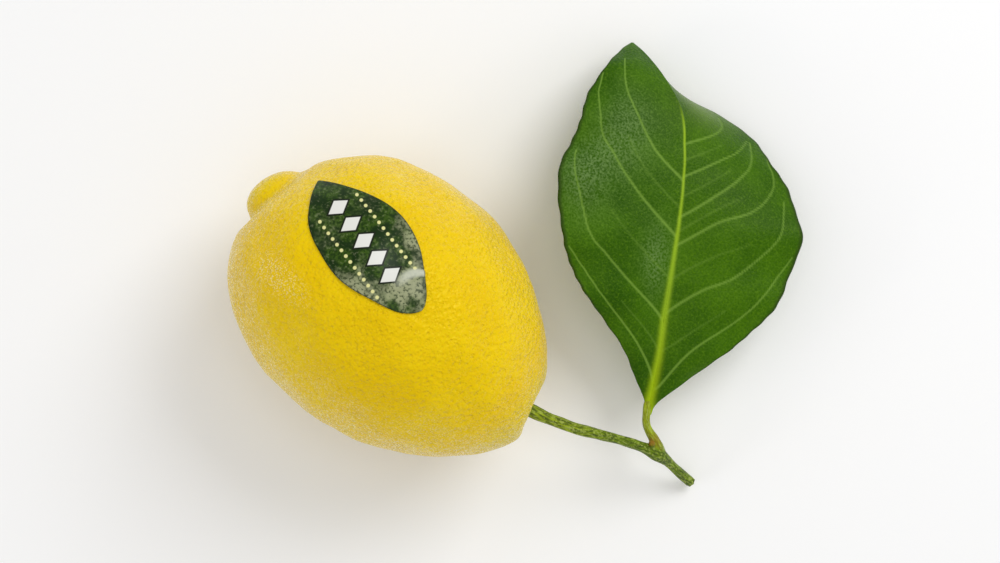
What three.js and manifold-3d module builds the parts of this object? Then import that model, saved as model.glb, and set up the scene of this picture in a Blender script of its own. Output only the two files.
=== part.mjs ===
// A lemon as picked: the fruit on its side, its cut twig with one leaf, and a small oval label on the peel.
// Millimetres, +Z up. The origin is the middle of the flat spot under the fruit's widest section,
// +X runs along the fruit to its stem end, and the leaf lies on the +Y side.

import * as THREE from "three";
import { mergeVertices } from "three/addons/utils/BufferGeometryUtils.js";
import Module from "manifold-3d";

// The fruit, 88 mm long and 65 mm wide, and the flat spot that it rests on
const FRUIT_RADIUS = 32.4;
const FLAT_DEPTH = 0.9;
const CENTRE_HEIGHT = FRUIT_RADIUS - FLAT_DEPTH;
const STEM_END = { reach: 44.6, power: 1.8, root: 0.605 };
const NIPPLE_END = { reach: 40.8, power: 2.2, root: 0.46 };
const AXIS = { side: -0.3, bend: 1.6, at: 40 };

// The nipple with the groove round it, and the hollow at the stem
const NIPPLE = { side: 3.4, radius: 8.2, height: 3.5, flatness: 2.4, roundness: 0.75, from: -30, to: -38 };
const GROOVE = { radius: 9.8, width: 2.2, depth: 0.7, notch: 0.7, notchFrom: 0.2 };
const HOLLOW = { side: 2, radius: 5.4, depth: 4.4 };

// Low lengthwise lobes that are strongest near the nipple, one ridge with a valley, and faint waves
const LOBES = { body: 0.35, nipple: 1.1, from: -14, to: -36 };
const BROAD_LOBE = { share: 0.55, count: 3, turn: 0.9 };
const NARROW_LOBE = { share: 0.45, count: 5, turn: -0.6 };
const RIDGE = { height: 1.1, at: -39, turn: -45, drift: 1.4, width: 0.24, from: -6, to: -30 };
const VALLEY = { depth: 0.9, beside: 0.5, width: 0.26 };
const WAVE = { height: 0.16, along: 0.42, sway: 1.3, swayCount: 3, round: 11, slant: 0.2 };

// The calyx in the hollow
const CALYX = { lobes: 5, radius: 2.9, lobe: 0.6, thick: 0.9, thinning: 0.3, inset: 0.94, clear: 0.5 };

// The twig, with its swollen node, bud and cut end
const TWIG_RADIUS = { root: 1.75, neck: 1.5, middle: 1.2, past: 1.15, cut: 1.4 };
const TWIG_SHARES = { neck: 0.12, middle: 0.5, node: 0.735, past: 0.8, flare: 0.9 };
const TWIG_NODE = { swell: 0.5, width: 0.035 };
const TWIG_PATH = [
  [41.7, 1.6, 32], [45.8, 2.7, 31.2], [49.3, 3.8, 29.6], [53.5, 5.2, 27.3], [59.2, 7.7, 23.8],
  [65, 10.1, 20], [69.5, 11.9, 16.8], [72.6, 12.9, 14.2], [76.4, 13, 11], [81.2, 12.4, 6.5],
  [85.8, 12.1, 2],
];
const BUD = { length: 2.4, radius: 0.9, turn: -28, offset: [0.8, 1, 0.9] };

// The leaf stalk
const STALK_RADIUS = { root: 1, middle: 0.85, top: 1.05 };
const STALK_PATH = [
  [70.6, 14.6, 15.9], [69.3, 15.5, 16.3], [67.6, 16.7, 16.5], [65.9, 18.2, 16.4], [64.2, 20.2, 16],
];

// The leaf, 92 mm long and 60 mm wide. Its lines start at its base, with the leaf pointing along +Y.
const LEAF = { place: [64.1, 20.6, 15.8], turn: 38.75 };
const BLADE = { thick: 0.7, camber: 1.3, wave: 0.8, waves: 7, fullWidth: 10 };
const MIDRIB = { thick: 1, halfWidth: 0.06, taper: 0.7 };
const TEETH = { size: 0.35, count: 22, sharpness: 6 };
const RIBS = { height: 0.25, count: 9, lean: 0.25 };
const MIDRIB_LINE = [
  [0, 0, 0], [1.4, 5, 1], [2.4, 10.5, 2.2], [3.8, 21.3, 4.3], [5.8, 34.3, 6], [7.7, 47.3, 6.5],
  [8.8, 61.3, 5.3], [8, 72.3, 3], [3.7, 81, -0.5], [-0.7, 87, -4.6], [-3.6, 89.6, -7],
];
const LEFT_MARGIN = [
  [0, 0, 0], [-1.4, 1.6, 0.6], [-2.6, 6, 2], [-6.4, 15, 5], [-12.6, 23.8, 8], [-17.9, 32.6, 10.5],
  [-20.4, 41.4, 11.5], [-21.9, 50.1, 11], [-22, 58.6, 10], [-19, 64, 9], [-16.4, 70.2, 8],
  [-14.2, 76.6, 6], [-10.1, 82.6, 2.5], [-5.6, 87.7, -4], [-3.6, 89.6, -7],
];
const RIGHT_MARGIN = [
  [0, 0, 0], [3, 1.2, 0.6], [9.3, 6, 1.5], [21.8, 14.9, 2], [30.5, 23.8, 2], [34.7, 32.6, 1.5],
  [37.7, 41.5, 1], [36.4, 47.5, 0], [34.2, 53.5, -2], [30.4, 59.5, -4.5], [26.4, 65.7, -7.5],
  [17.4, 71.9, -10.5], [7.7, 77, -12], [1.4, 82.4, -12.4], [-2.2, 87, -10.8], [-3.6, 89.6, -7],
];

// The label, an oval film with two pointed ends, 41 mm long and 21 mm wide on the peel.
// Its tips are points across the fruit, seen from above.
const LABEL = { thick: 0.6, clear: 0.35, halfWidth: 10.2, bow: 0.1, fullness: 0.62, skew: 0.92 };
const LABEL_TIPS = [[-30.6, 13.1], [6.9, 4]];

// How finely each surface is divided
const FRUIT_GRID = { rings: 52, sides: 56 };
const TWIG_GRID = { rings: 34, sides: 12 };
const STALK_GRID = { rings: 10, sides: 8 };
const CALYX_GRID = { rings: 4, sides: 40 };
const LEAF_ROWS = 44;
const LEAF_HALF_COLUMNS = [0, 0.06, 0.2, 0.38, 0.58, 0.8, 1];
const LABEL_ROWS = 16;
const LABEL_HALF_COLUMNS = [0, 0.4, 0.72, 1];

const wasm = await Module();
wasm.setup();

// A step that rises smoothly from 0 to 1 as a value goes from one bound to the other
function rise(value, from, to) {
  const share = THREE.MathUtils.clamp((value - from) / (to - from), 0, 1);
  return share * share * (3 - 2 * share);
}

// A hump of height 1 that falls away smoothly on both sides
function hump(distance, width) {
  return Math.exp(-((distance / width) ** 2));
}

function turnBetween(turn, other) {
  return Math.atan2(Math.sin(turn - other), Math.cos(turn - other));
}

function curveThrough(points) {
  return new THREE.CatmullRomCurve3(points.map((p) => new THREE.Vector3(...p)));
}

function bothHalves(columns) {
  const left = columns.slice(1).map((v) => -v);
  return [...left.reverse(), ...columns];
}

function geometryFrom(positions, faces) {
  const geometry = new THREE.BufferGeometry();
  geometry.setAttribute("position", new THREE.Float32BufferAttribute(positions, 3));
  geometry.setIndex(faces);
  geometry.computeVertexNormals();
  return geometry;
}

// A closed skin over rings of points, with a single point at each end
function closedRings(first, rings, last) {
  const sides = rings[0].length;
  const positions = [first, ...rings.flat(), last].flatMap((p) => p.toArray());
  const end = rings.length * sides + 1;
  const faces = [];
  const at = (ring, side) => 1 + ring * sides + (side % sides);
  for (let side = 0; side < sides; side += 1) {
    faces.push(0, at(0, side), at(0, side + 1));
    faces.push(end, at(rings.length - 1, side + 1), at(rings.length - 1, side));
    for (let ring = 0; ring < rings.length - 1; ring += 1) {
      faces.push(at(ring, side), at(ring + 1, side), at(ring + 1, side + 1));
      faces.push(at(ring, side), at(ring + 1, side + 1), at(ring, side + 1));
    }
  }
  return geometryFrom(positions, faces);
}

// The way a sheet faces, at a share of its length and a share of its half width
function sheetNormal(pointAt, share, across) {
  const step = 0.004;
  const inside = THREE.MathUtils.clamp(share, 3 * step, 1 - 3 * step);
  const ahead = pointAt(inside + step, across).sub(pointAt(inside - step, across));
  const aside = pointAt(inside, across + step).sub(pointAt(inside, across - step));
  return aside.cross(ahead).normalize();
}

// A thin closed sheet whose rows all run from one tip to the other. Both faces are split alike.
function closedSheet(rows, columns, pointAt, thickAt) {
  const positions = [];
  const faces = [];
  const addPair = (share, across) => {
    const half = sheetNormal(pointAt, share, across).multiplyScalar(thickAt(share, across) / 2);
    const middle = pointAt(share, across);
    positions.push(...middle.clone().add(half).toArray(), ...middle.sub(half).toArray());
    return positions.length / 3 - 2;
  };
  const start = addPair(0, 0);
  const finish = addPair(1, 0);
  const lines = [];
  for (let row = 1; row < rows; row += 1) {
    lines.push(columns.map((across) => addPair(row / rows, across)));
  }
  const addFace = (a, b, c) => faces.push(a, b, c, a + 1, c + 1, b + 1);
  const addRim = (a, b) => faces.push(a, a + 1, b, a + 1, b + 1, b);
  const lastLine = lines.length - 1;
  const lastColumn = columns.length - 1;
  for (let column = 0; column < lastColumn; column += 1) {
    addFace(start, lines[0][column + 1], lines[0][column]);
    addFace(finish, lines[lastLine][column], lines[lastLine][column + 1]);
    for (let line = 0; line < lastLine; line += 1) {
      addFace(lines[line][column], lines[line][column + 1], lines[line + 1][column + 1]);
      addFace(lines[line][column], lines[line + 1][column + 1], lines[line + 1][column]);
    }
  }
  const down = [finish, ...lines.map((line) => line[0]).reverse(), start];
  const up = [start, ...lines.map((line) => line[lastColumn]), finish];
  for (const edge of [down, up]) {
    edge.slice(1).forEach((point, index) => addRim(edge[index], point));
  }
  return geometryFrom(positions, faces);
}

// A closed tube round a path, with its own radius at every share of its length
function closedTube(path, grid, radiusAt) {
  const curve = curveThrough(path);
  const frames = curve.computeFrenetFrames(grid.rings, false);
  const rings = [];
  for (let ring = 0; ring <= grid.rings; ring += 1) {
    const share = ring / grid.rings;
    const centre = curve.getPointAt(share);
    const radius = radiusAt(share);
    const points = [];
    for (let side = 0; side < grid.sides; side += 1) {
      const turn = (-2 * Math.PI * side) / grid.sides;
      const point = centre.clone();
      point.addScaledVector(frames.normals[ring], radius * Math.cos(turn));
      point.addScaledVector(frames.binormals[ring], radius * Math.sin(turn));
      points.push(point);
    }
    rings.push(points);
  }
  return closedRings(curve.getPointAt(0), rings, curve.getPointAt(1));
}

// The solid that can be joined and cut, from any closed geometry
function solidFrom(geometry) {
  const bare = geometry.clone();
  bare.deleteAttribute("normal");
  bare.deleteAttribute("uv");
  const merged = mergeVertices(bare);
  const mesh = new wasm.Mesh({
    numProp: 3,
    vertProperties: merged.attributes.position.array,
    triVerts: new Uint32Array(merged.index.array),
  });
  return new wasm.Manifold(mesh);
}

function geometryOf(solid) {
  const mesh = solid.getMesh();
  return geometryFrom(Array.from(mesh.vertProperties), Array.from(mesh.triVerts));
}

// The fruit's radius without nipple, hollow or lobes
function plainRadius(x) {
  const end = x > 0 ? STEM_END : NIPPLE_END;
  const share = Math.min(Math.abs(x) / end.reach, 1);
  return FRUIT_RADIUS * (1 - share ** end.power) ** end.root;
}

// The middle line bends a little to one side towards both ends
function axisSide(x) {
  return AXIS.side - AXIS.bend * (x / AXIS.at) ** 4;
}

function lobe(kind, turn) {
  return kind.share * Math.cos(kind.count * turn + kind.turn);
}

// How far the peel stands off the plain radius
function swell(x, turn) {
  const lobes = lobe(BROAD_LOBE, turn) + lobe(NARROW_LOBE, turn);
  const strong = rise(x, RIDGE.from, RIDGE.to);
  const ridgeTurn = THREE.MathUtils.degToRad(RIDGE.turn + RIDGE.drift * (x - RIDGE.at));
  const valleyTurn = ridgeTurn + VALLEY.beside;
  const ridge = RIDGE.height * hump(turnBetween(turn, ridgeTurn), RIDGE.width);
  const valley = VALLEY.depth * hump(turnBetween(turn, valleyTurn), VALLEY.width);
  const rolling = Math.sin(WAVE.along * x + WAVE.sway * Math.sin(WAVE.swayCount * turn));
  const ripple = Math.cos(WAVE.round * turn + WAVE.slant * x);
  const lobed = (LOBES.body + LOBES.nipple * rise(x, LOBES.from, LOBES.to)) * lobes;
  return lobed + strong * (ridge - valley) + WAVE.height * (rolling + ripple);
}

// How far the nipple stands out past its blunt base, at a point across the fruit
function nippleLift(y, z) {
  const off = y - NIPPLE.side;
  const away = Math.hypot(off, z - CENTRE_HEIGHT);
  const share = Math.min(away / NIPPLE.radius, 1);
  const dome = NIPPLE.height * (1 - share ** NIPPLE.flatness) ** NIPPLE.roundness;
  const towardsNotch = -off / Math.max(away, 1);
  const depth = GROOVE.depth + GROOVE.notch * rise(towardsNotch, GROOVE.notchFrom, 1);
  return dome - depth * hump(away - GROOVE.radius, GROOVE.width);
}

// How deep the stem's hollow is at a point across the fruit
function hollowDepth(y, z) {
  return HOLLOW.depth * hump(Math.hypot(y - HOLLOW.side, z - CENTRE_HEIGHT), HOLLOW.radius);
}

// A point of the peel. The turn is 0 on top and grows towards +Y.
function skinPoint(x, turn) {
  const plain = plainRadius(x);
  const radius = plain + (plain / FRUIT_RADIUS) * swell(x, turn);
  const y = axisSide(x) + radius * Math.sin(turn);
  const z = CENTRE_HEIGHT + radius * Math.cos(turn);
  const nipple = nippleLift(y, z) * rise(x, NIPPLE.from, NIPPLE.to);
  const push = x > 0 ? -hollowDepth(y, z) : -nipple;
  return new THREE.Vector3(x + push, y, z);
}

// A point that stands off the peel by a given height
function pointOverSkin(x, turn, height) {
  const step = 0.6;
  const turnStep = step / FRUIT_RADIUS;
  const ahead = skinPoint(x + step, turn).sub(skinPoint(x - step, turn));
  const around = skinPoint(x, turn + turnStep).sub(skinPoint(x, turn - turnStep));
  return skinPoint(x, turn).addScaledVector(ahead.cross(around).normalize(), height);
}

function makeFruit() {
  const rings = [];
  for (let ring = 1; ring < FRUIT_GRID.rings; ring += 1) {
    const angle = (Math.PI * ring) / FRUIT_GRID.rings;
    const end = angle < Math.PI / 2 ? STEM_END : NIPPLE_END;
    const points = [];
    for (let side = 0; side < FRUIT_GRID.sides; side += 1) {
      points.push(skinPoint(end.reach * Math.cos(angle), (-2 * Math.PI * side) / FRUIT_GRID.sides));
    }
    rings.push(points);
  }
  const whole = closedRings(skinPoint(STEM_END.reach, 0), rings, skinPoint(-NIPPLE_END.reach, 0));
  const below = new THREE.BoxGeometry(2 * FRUIT_RADIUS, 2 * FRUIT_RADIUS, FRUIT_RADIUS);
  below.translate(0, 0, -FRUIT_RADIUS / 2);
  return geometryOf(solidFrom(whole).subtract(solidFrom(below)));
}

// The floor of the stem's hollow, without the low lobes
function stemEndX(y, z) {
  const away = Math.hypot(y - axisSide(STEM_END.reach), z - CENTRE_HEIGHT);
  const share = (away / FRUIT_RADIUS) ** (1 / STEM_END.root);
  return STEM_END.reach * (1 - share) ** (1 / STEM_END.power) - hollowDepth(y, z);
}

// A small star of five blunt lobes that lies in the hollow
function makeCalyx() {
  const pointAt = (share, turn, lift) => {
    const reach = share * (CALYX.radius + CALYX.lobe * Math.cos(CALYX.lobes * turn));
    const y = HOLLOW.side + reach * Math.sin(turn);
    const z = CENTRE_HEIGHT + reach * Math.cos(turn);
    return new THREE.Vector3(stemEndX(y, z) + CALYX.clear + lift, y, z);
  };
  const ringAt = (share, lift) => {
    const points = [];
    for (let side = 0; side < CALYX_GRID.sides; side += 1) {
      points.push(pointAt(share, (-2 * Math.PI * side) / CALYX_GRID.sides, lift));
    }
    return points;
  };
  const upper = [];
  const lower = [];
  for (let ring = 1; ring <= CALYX_GRID.rings; ring += 1) {
    const share = ring / CALYX_GRID.rings;
    upper.push(ringAt(share * CALYX.inset, CALYX.thick * (1 - CALYX.thinning * share)));
    lower.unshift(ringAt(share, 0));
  }
  return closedRings(pointAt(0, 0, CALYX.thick), [...upper, ...lower], pointAt(0, 0, 0));
}

// Thick at its root, slim in the middle, swollen at the node and a little flared at the cut
function twigRadius(share) {
  const { lerp } = THREE.MathUtils;
  const at = TWIG_SHARES;
  const neck = lerp(TWIG_RADIUS.root, TWIG_RADIUS.neck, rise(share, 0, at.neck));
  const middle = lerp(neck, TWIG_RADIUS.middle, rise(share, at.neck, at.middle));
  const past = lerp(middle, TWIG_RADIUS.past, rise(share, at.node, at.past));
  const cut = lerp(past, TWIG_RADIUS.cut, rise(share, at.flare, 1));
  return cut + TWIG_NODE.swell * hump(share - at.node, TWIG_NODE.width);
}

// The bud sits on the node, in the angle between the twig and the leaf stalk
function makeBud() {
  const bud = new THREE.SphereGeometry(1, TWIG_GRID.sides, TWIG_GRID.sides / 2);
  bud.scale(BUD.radius, BUD.length / 2, BUD.radius);
  bud.rotateZ(THREE.MathUtils.degToRad(BUD.turn));
  const place = curveThrough(TWIG_PATH).getPointAt(TWIG_SHARES.node);
  bud.translate(...place.add(new THREE.Vector3(...BUD.offset)).toArray());
  return bud;
}

function makeTwig() {
  const stem = closedTube(TWIG_PATH, TWIG_GRID, twigRadius);
  return geometryOf(solidFrom(stem).add(solidFrom(makeBud())));
}

function stalkRadius(share) {
  const low = THREE.MathUtils.lerp(STALK_RADIUS.root, STALK_RADIUS.middle, rise(share, 0, 0.4));
  return THREE.MathUtils.lerp(low, STALK_RADIUS.top, rise(share, 0.6, 1));
}

function makeLeafStalk() {
  return closedTube(STALK_PATH, STALK_GRID, stalkRadius);
}

// A function that gives any point of the blade, from the midrib out to either margin
function bladeSurface() {
  const midrib = curveThrough(MIDRIB_LINE);
  const left = curveThrough(LEFT_MARGIN);
  const right = curveThrough(RIGHT_MARGIN);
  return (share, across) => {
    const side = Math.abs(across);
    const inner = midrib.getPointAt(share);
    const outward = (across < 0 ? left : right).getPointAt(share).sub(inner);
    const full = Math.min(outward.length() / BLADE.fullWidth, 1);
    const tooth = TEETH.size * Math.cos(2 * Math.PI * TEETH.count * share) * side ** TEETH.sharpness;
    const point = inner.addScaledVector(outward, side);
    point.addScaledVector(outward.normalize(), tooth * full);
    const bulge = 4 * side * (1 - side);
    const rib = RIBS.height * Math.cos(2 * Math.PI * (RIBS.count * share - RIBS.lean * side));
    const wave = BLADE.wave * Math.sin(2 * Math.PI * BLADE.waves * share) * side ** 2;
    point.z += full * ((BLADE.camber + rib) * bulge + wave);
    return point;
  };
}

// The blade is thicker along its midrib, which thins towards the tip
function bladeThickness(share, across) {
  const core = 1 - rise(Math.abs(across), 0, MIDRIB.halfWidth);
  return BLADE.thick + MIDRIB.thick * core * (1 - MIDRIB.taper * share);
}

function makeLeafBlade() {
  const columns = bothHalves(LEAF_HALF_COLUMNS);
  const blade = closedSheet(LEAF_ROWS, columns, bladeSurface(), bladeThickness);
  blade.rotateZ(THREE.MathUtils.degToRad(LEAF.turn));
  blade.translate(...LEAF.place);
  return blade;
}

// The label's outline is drawn across the fruit, seen from above, and lies on the peel below it
function makeLabel() {
  const [from, to] = LABEL_TIPS.map((tip) => new THREE.Vector2(...tip));
  const along = to.clone().sub(from).normalize();
  const aside = new THREE.Vector2(-along.y, along.x);
  const pointAt = (share, across) => {
    const width = LABEL.halfWidth * Math.sin(Math.PI * share ** LABEL.skew) ** LABEL.fullness;
    const seen = from.clone().lerp(to, share);
    seen.addScaledVector(aside, width * across + LABEL.bow * Math.sin(Math.PI * share));
    const turn = Math.asin((seen.y - axisSide(seen.x)) / plainRadius(seen.x));
    return pointOverSkin(seen.x, turn, LABEL.clear + LABEL.thick / 2);
  };
  return closedSheet(LABEL_ROWS, bothHalves(LABEL_HALF_COLUMNS), pointAt, () => LABEL.thick);
}

function finish(color, roughness) {
  return new THREE.MeshStandardMaterial({ color, roughness, metalness: 0 });
}

const lemon = new THREE.Group();

function addPiece(name, geometry, material) {
  const piece = new THREE.Mesh(geometry, material);
  piece.name = name;
  lemon.add(piece);
}

addPiece("fruit", makeFruit(), finish(0xe6c107, 0.42));
addPiece("calyx", makeCalyx(), finish(0x8a8a3a, 0.75));
addPiece("twig", makeTwig(), finish(0x7f9430, 0.65));
addPiece("leaf_stalk", makeLeafStalk(), finish(0x949a32, 0.6));
addPiece("leaf_blade", makeLeafBlade(), finish(0x476e15, 0.4));
addPiece("label", makeLabel(), finish(0x445321, 0.25));

export default lemon;
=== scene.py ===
"""A lemon as picked: the fruit on its side, its cut twig with one leaf, and a small oval label on the peel.

Sizes are in millimetres and follow the part's own, with finer outlines. The meshes are made in metres,
in the part's frame: the origin is the middle of the flat spot, +X runs to the stem end and the leaf lies
on the +Y side.
"""

import logging
import math
from dataclasses import dataclass, field
from enum import Enum
from typing import Any, ClassVar

import bpy
import numpy as np
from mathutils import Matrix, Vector
from mathutils.kdtree import KDTree


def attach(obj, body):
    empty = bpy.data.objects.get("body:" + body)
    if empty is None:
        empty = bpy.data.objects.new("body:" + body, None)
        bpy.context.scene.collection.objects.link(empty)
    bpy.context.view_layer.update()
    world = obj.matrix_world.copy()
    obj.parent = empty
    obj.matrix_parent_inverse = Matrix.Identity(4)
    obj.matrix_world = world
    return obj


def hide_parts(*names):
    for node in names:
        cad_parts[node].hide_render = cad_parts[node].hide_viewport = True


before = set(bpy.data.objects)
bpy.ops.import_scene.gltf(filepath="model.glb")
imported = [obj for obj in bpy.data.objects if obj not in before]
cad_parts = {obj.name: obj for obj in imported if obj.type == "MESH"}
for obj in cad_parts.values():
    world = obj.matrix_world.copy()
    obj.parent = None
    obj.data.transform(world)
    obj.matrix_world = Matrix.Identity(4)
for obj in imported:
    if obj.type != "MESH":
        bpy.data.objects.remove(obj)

LOG = logging.getLogger("lemon")
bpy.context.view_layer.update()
MM = 0.001
FULL_TURN = 2 * math.pi

Array = np.ndarray
Colour = tuple[float, float, float]
Point = tuple[float, float, float]
Pair = tuple[float, float]
Socket = bpy.types.NodeSocket
Node = bpy.types.Node
Tree = bpy.types.NodeTree
Material = bpy.types.Material


class Slot(Enum):
    """The material slots, one for each finish."""

    PEEL = "peel"
    CALYX = "calyx"
    TWIG = "twig"
    LEAF_STALK = "leaf_stalk"
    LEAF = "leaf"
    LABEL_FILM = "label_film"


class Side(Enum):
    """The two halves of the leaf, on either side of its midrib."""

    LEFT = -1
    RIGHT = 1


def rise(value: Array | float, start: float, end: float) -> Array:
    """Step smoothly from 0 to 1 as a value goes from start to end."""
    share = np.clip((value - start) / (end - start), 0.0, 1.0)
    return share * share * (3.0 - 2.0 * share)


def hump(distance: Array | float, width: float) -> Array:
    """Rise to 1 at distance 0 and fall away smoothly on both sides."""
    return np.exp(-((distance / width) ** 2))


def lerp(start: Array | float, end: Array | float, share: Array | float) -> Array:
    """Go from start to end by a share."""
    return start + (end - start) * share


def unit(vectors: Array) -> Array:
    """Scale vectors to length 1."""
    return vectors / np.maximum(np.linalg.norm(vectors, axis=-1, keepdims=True), 1e-9)


def steps_between(count: int) -> Array:
    """Space shares evenly between 0 and 1, without the two ends, one a row."""
    return (np.arange(1, count) / count)[:, None]


def around(sides: int) -> Array:
    """Space turns evenly round a ring, in one row."""
    return (FULL_TURN * np.arange(sides) / sides)[None, :]


def both_faces(upper: Array, lower: Array) -> Array:
    """Run from margin to margin over a sheet's upper face and back over its lower one."""
    return np.concatenate([upper, lower[:, -2:0:-1]], axis=1)


class SmoothCurve:
    """A smooth curve through points, with closer points bending it more tightly."""

    STEPS: ClassVar[int] = 40
    LOOK_AHEAD: ClassVar[float] = 0.004

    def __init__(self, points: tuple[tuple[float, ...], ...] | Array) -> None:
        """Lay the curve out as a fine line.

        Args:
            points: The points that the curve passes through, of two or three numbers each.
        """
        knots = np.array(points, float)
        knots = np.pad(knots, ((0, 0), (0, 3 - knots.shape[1])))
        knots = np.vstack([2 * knots[0] - knots[1], knots, 2 * knots[-1] - knots[-2]])
        share = np.linspace(0, 1, self.STEPS, endpoint=False)[:, None]
        stretches = [self._stretch(knots[start : start + 4], share) for start in range(len(knots) - 3)]
        self.line = np.vstack([*stretches, knots[-2:-1]])
        run = np.cumsum(np.linalg.norm(np.diff(self.line, axis=0), axis=1))
        self.length = float(run[-1])
        self.shares = np.concatenate([[0.0], run / self.length])

    @staticmethod
    def _stretch(knots: Array, share: Array) -> Array:
        """Work out the curve between the second and the third of four knots.

        Args:
            knots: Four knots, one a row.
            share: The shares of the stretch at which points are wanted.

        Returns:
            One point a row.
        """
        before, start, end, after = knots
        into, over, out = (math.sqrt(np.linalg.norm(step)) for step in np.diff(knots, axis=0))
        leaving = (start - before) / into - (end - before) / (into + over) + (end - start) / over
        arriving = (end - start) / over - (after - start) / (over + out) + (after - end) / out
        leaving, arriving = leaving * over, arriving * over
        curved = 3 * (end - start) - 2 * leaving - arriving
        twisted = 2 * (start - end) + leaving + arriving
        return start + leaving * share + curved * share**2 + twisted * share**3

    def at(self, shares: Array | float) -> Array:
        """Read points of the curve at shares of its length."""
        return np.stack([np.interp(shares, self.shares, self.line[:, i]) for i in range(3)], axis=-1)

    def frames(self, shares: Array) -> tuple[Array, Array, Array]:
        """Carry a pair of cross directions along the curve without twist.

        Args:
            shares: Shares of the length, in rising order.

        Returns:
            The directions along, aside and upward at each share.
        """
        onward = self.at(np.minimum(shares + self.LOOK_AHEAD, 1))
        ahead = unit(onward - self.at(np.maximum(shares - self.LOOK_AHEAD, 0)))
        up = np.zeros_like(ahead)
        last = np.array([0.0, 0.0, 1.0])
        for index, direction in enumerate(ahead):
            last = unit(last - direction * (last @ direction))
            up[index] = last
        return ahead, np.cross(up, ahead), up


class Tube:
    """A round stem along a smooth curve: its shares, its run in millimetres and its turns."""

    def __init__(self, path: tuple[Point, ...], rings: int, sides: int) -> None:
        """Lay out the curve and the directions across it.

        Args:
            path: The points that the stem's middle passes through, in millimetres.
            rings: How many rings it gets from end to end.
            sides: How many points each ring gets.
        """
        self.curve = SmoothCurve(path)
        self.shares = np.linspace(0, 1, rings)
        self.run = (self.shares * self.curve.length)[:, None]
        self.turns = around(sides)
        self.ahead, self._aside, self._up = self.curve.frames(self.shares)

    def rings(self, radius: Array) -> Array:
        """Set the points of every ring off the middle by a radius."""
        aside = np.cos(self.turns)[..., None] * self._aside[:, None]
        up = np.sin(self.turns)[..., None] * self._up[:, None]
        return self.curve.at(self.shares)[:, None] + radius[..., None] * (aside + up)


@dataclass
class Shell:
    """A closed skin: its points in millimetres, its faces, and the values that its finish reads."""

    points: Array
    quads: Array
    tris: Array
    values: dict[str, Array] = field(default_factory=dict)

    @classmethod
    def from_rings(
        cls, first: Array, rings: Array, last: Array, values: dict[str, Array] | None = None
    ) -> "Shell":
        """Close a skin over rings of points, with a single point at each end.

        Args:
            first: The point before the first ring.
            rings: Points as rings, sides and coordinates.
            last: The point after the last ring.
            values: Named numbers for the rings: one a point, or a row or column that repeats.

        Returns:
            The closed skin, with its faces outward.
        """
        count, sides = rings.shape[:2]
        points = np.vstack([first[None], rings.reshape(-1, 3), last[None]])
        at = 1 + np.arange(count * sides).reshape(count, sides)
        onward = np.roll(at, -1, axis=1)
        quads = np.stack([at[:-1], at[1:], onward[1:], onward[:-1]], axis=-1).reshape(-1, 4)
        end = np.full(sides, count * sides + 1)
        starts = np.stack([np.zeros(sides, int), at[0], onward[0]], axis=-1)
        ends = np.stack([end, onward[-1], at[-1]], axis=-1)
        named = {}
        for name, numbers in (values or {}).items():
            ring = np.broadcast_to(numbers, (count, sides))
            named[name] = np.concatenate([[ring[0].mean()], ring.ravel(), [ring[-1].mean()]])
        return cls(points, quads, np.vstack([starts, ends]), named).outward()

    def outward(self) -> "Shell":
        """Turn every face round if the skin is inside out."""
        corners = np.vstack([self.quads[:, :3], self.quads[:, [0, 2, 3]], self.tris])
        a, b, c = (self.points[corners[:, i]] for i in range(3))
        if np.einsum("ij,ij->i", a, np.cross(b, c)).sum() < 0:
            self.quads = self.quads[:, ::-1]
            self.tris = self.tris[:, ::-1]
        return self

    def join(self, other: "Shell") -> "Shell":
        """Put two skins into one mesh, each with its own values and 0 for the other's."""
        shift = len(self.points)
        named = {}
        for name in sorted({*self.values, *other.values}):
            parts = [skin.values.get(name, np.zeros(len(skin.points))) for skin in (self, other)]
            named[name] = np.concatenate(parts)
        return Shell(
            np.vstack([self.points, other.points]),
            np.vstack([self.quads, other.quads + shift]),
            np.vstack([self.tris, other.tris + shift]),
            named,
        )

    def to_object(self, name: str, material: Material) -> bpy.types.Object:
        """Make the mesh object in metres, with its values as point attributes.

        Args:
            name: The object's plain name.
            material: The finish that it wears.

        Returns:
            The new object, at the origin.
        """
        mesh = bpy.data.meshes.new(name)
        corners = np.concatenate([self.quads.ravel(), self.tris.ravel()])
        quad_starts = np.arange(len(self.quads)) * 4
        tri_starts = len(self.quads) * 4 + np.arange(len(self.tris)) * 3
        starts = np.concatenate([quad_starts, tri_starts])
        mesh.vertices.add(len(self.points))
        mesh.vertices.foreach_set("co", (self.points * MM).astype(np.float32).ravel())
        mesh.loops.add(len(corners))
        mesh.loops.foreach_set("vertex_index", corners.astype(np.int32))
        mesh.polygons.add(len(starts))
        mesh.polygons.foreach_set("loop_start", starts.astype(np.int32))
        mesh.update(calc_edges=True)
        mesh.shade_smooth()
        for key, numbers in self.values.items():
            attribute = mesh.attributes.new(key, "FLOAT", "POINT")
            attribute.data.foreach_set("value", numbers.astype(np.float32))
        mesh.materials.append(material)
        piece = bpy.data.objects.new(name, mesh)
        bpy.context.scene.collection.objects.link(piece)
        return piece


@dataclass(frozen=True)
class Wash:
    """A colour that comes in smoothly as a value goes from low to high, up to its strength."""

    colour: Colour
    low: float
    high: float
    strength: float = 1.0


@dataclass(frozen=True)
class Mottle:
    """Soft patches of two colours: their scale, and how softly they run into each other."""

    scale: float
    softness: float


@dataclass(frozen=True)
class Pits:
    """Small round pits: their scale, their size as a share of a cell, and their depth in millimetres."""

    scale: float
    size: float
    depth: float


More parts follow.
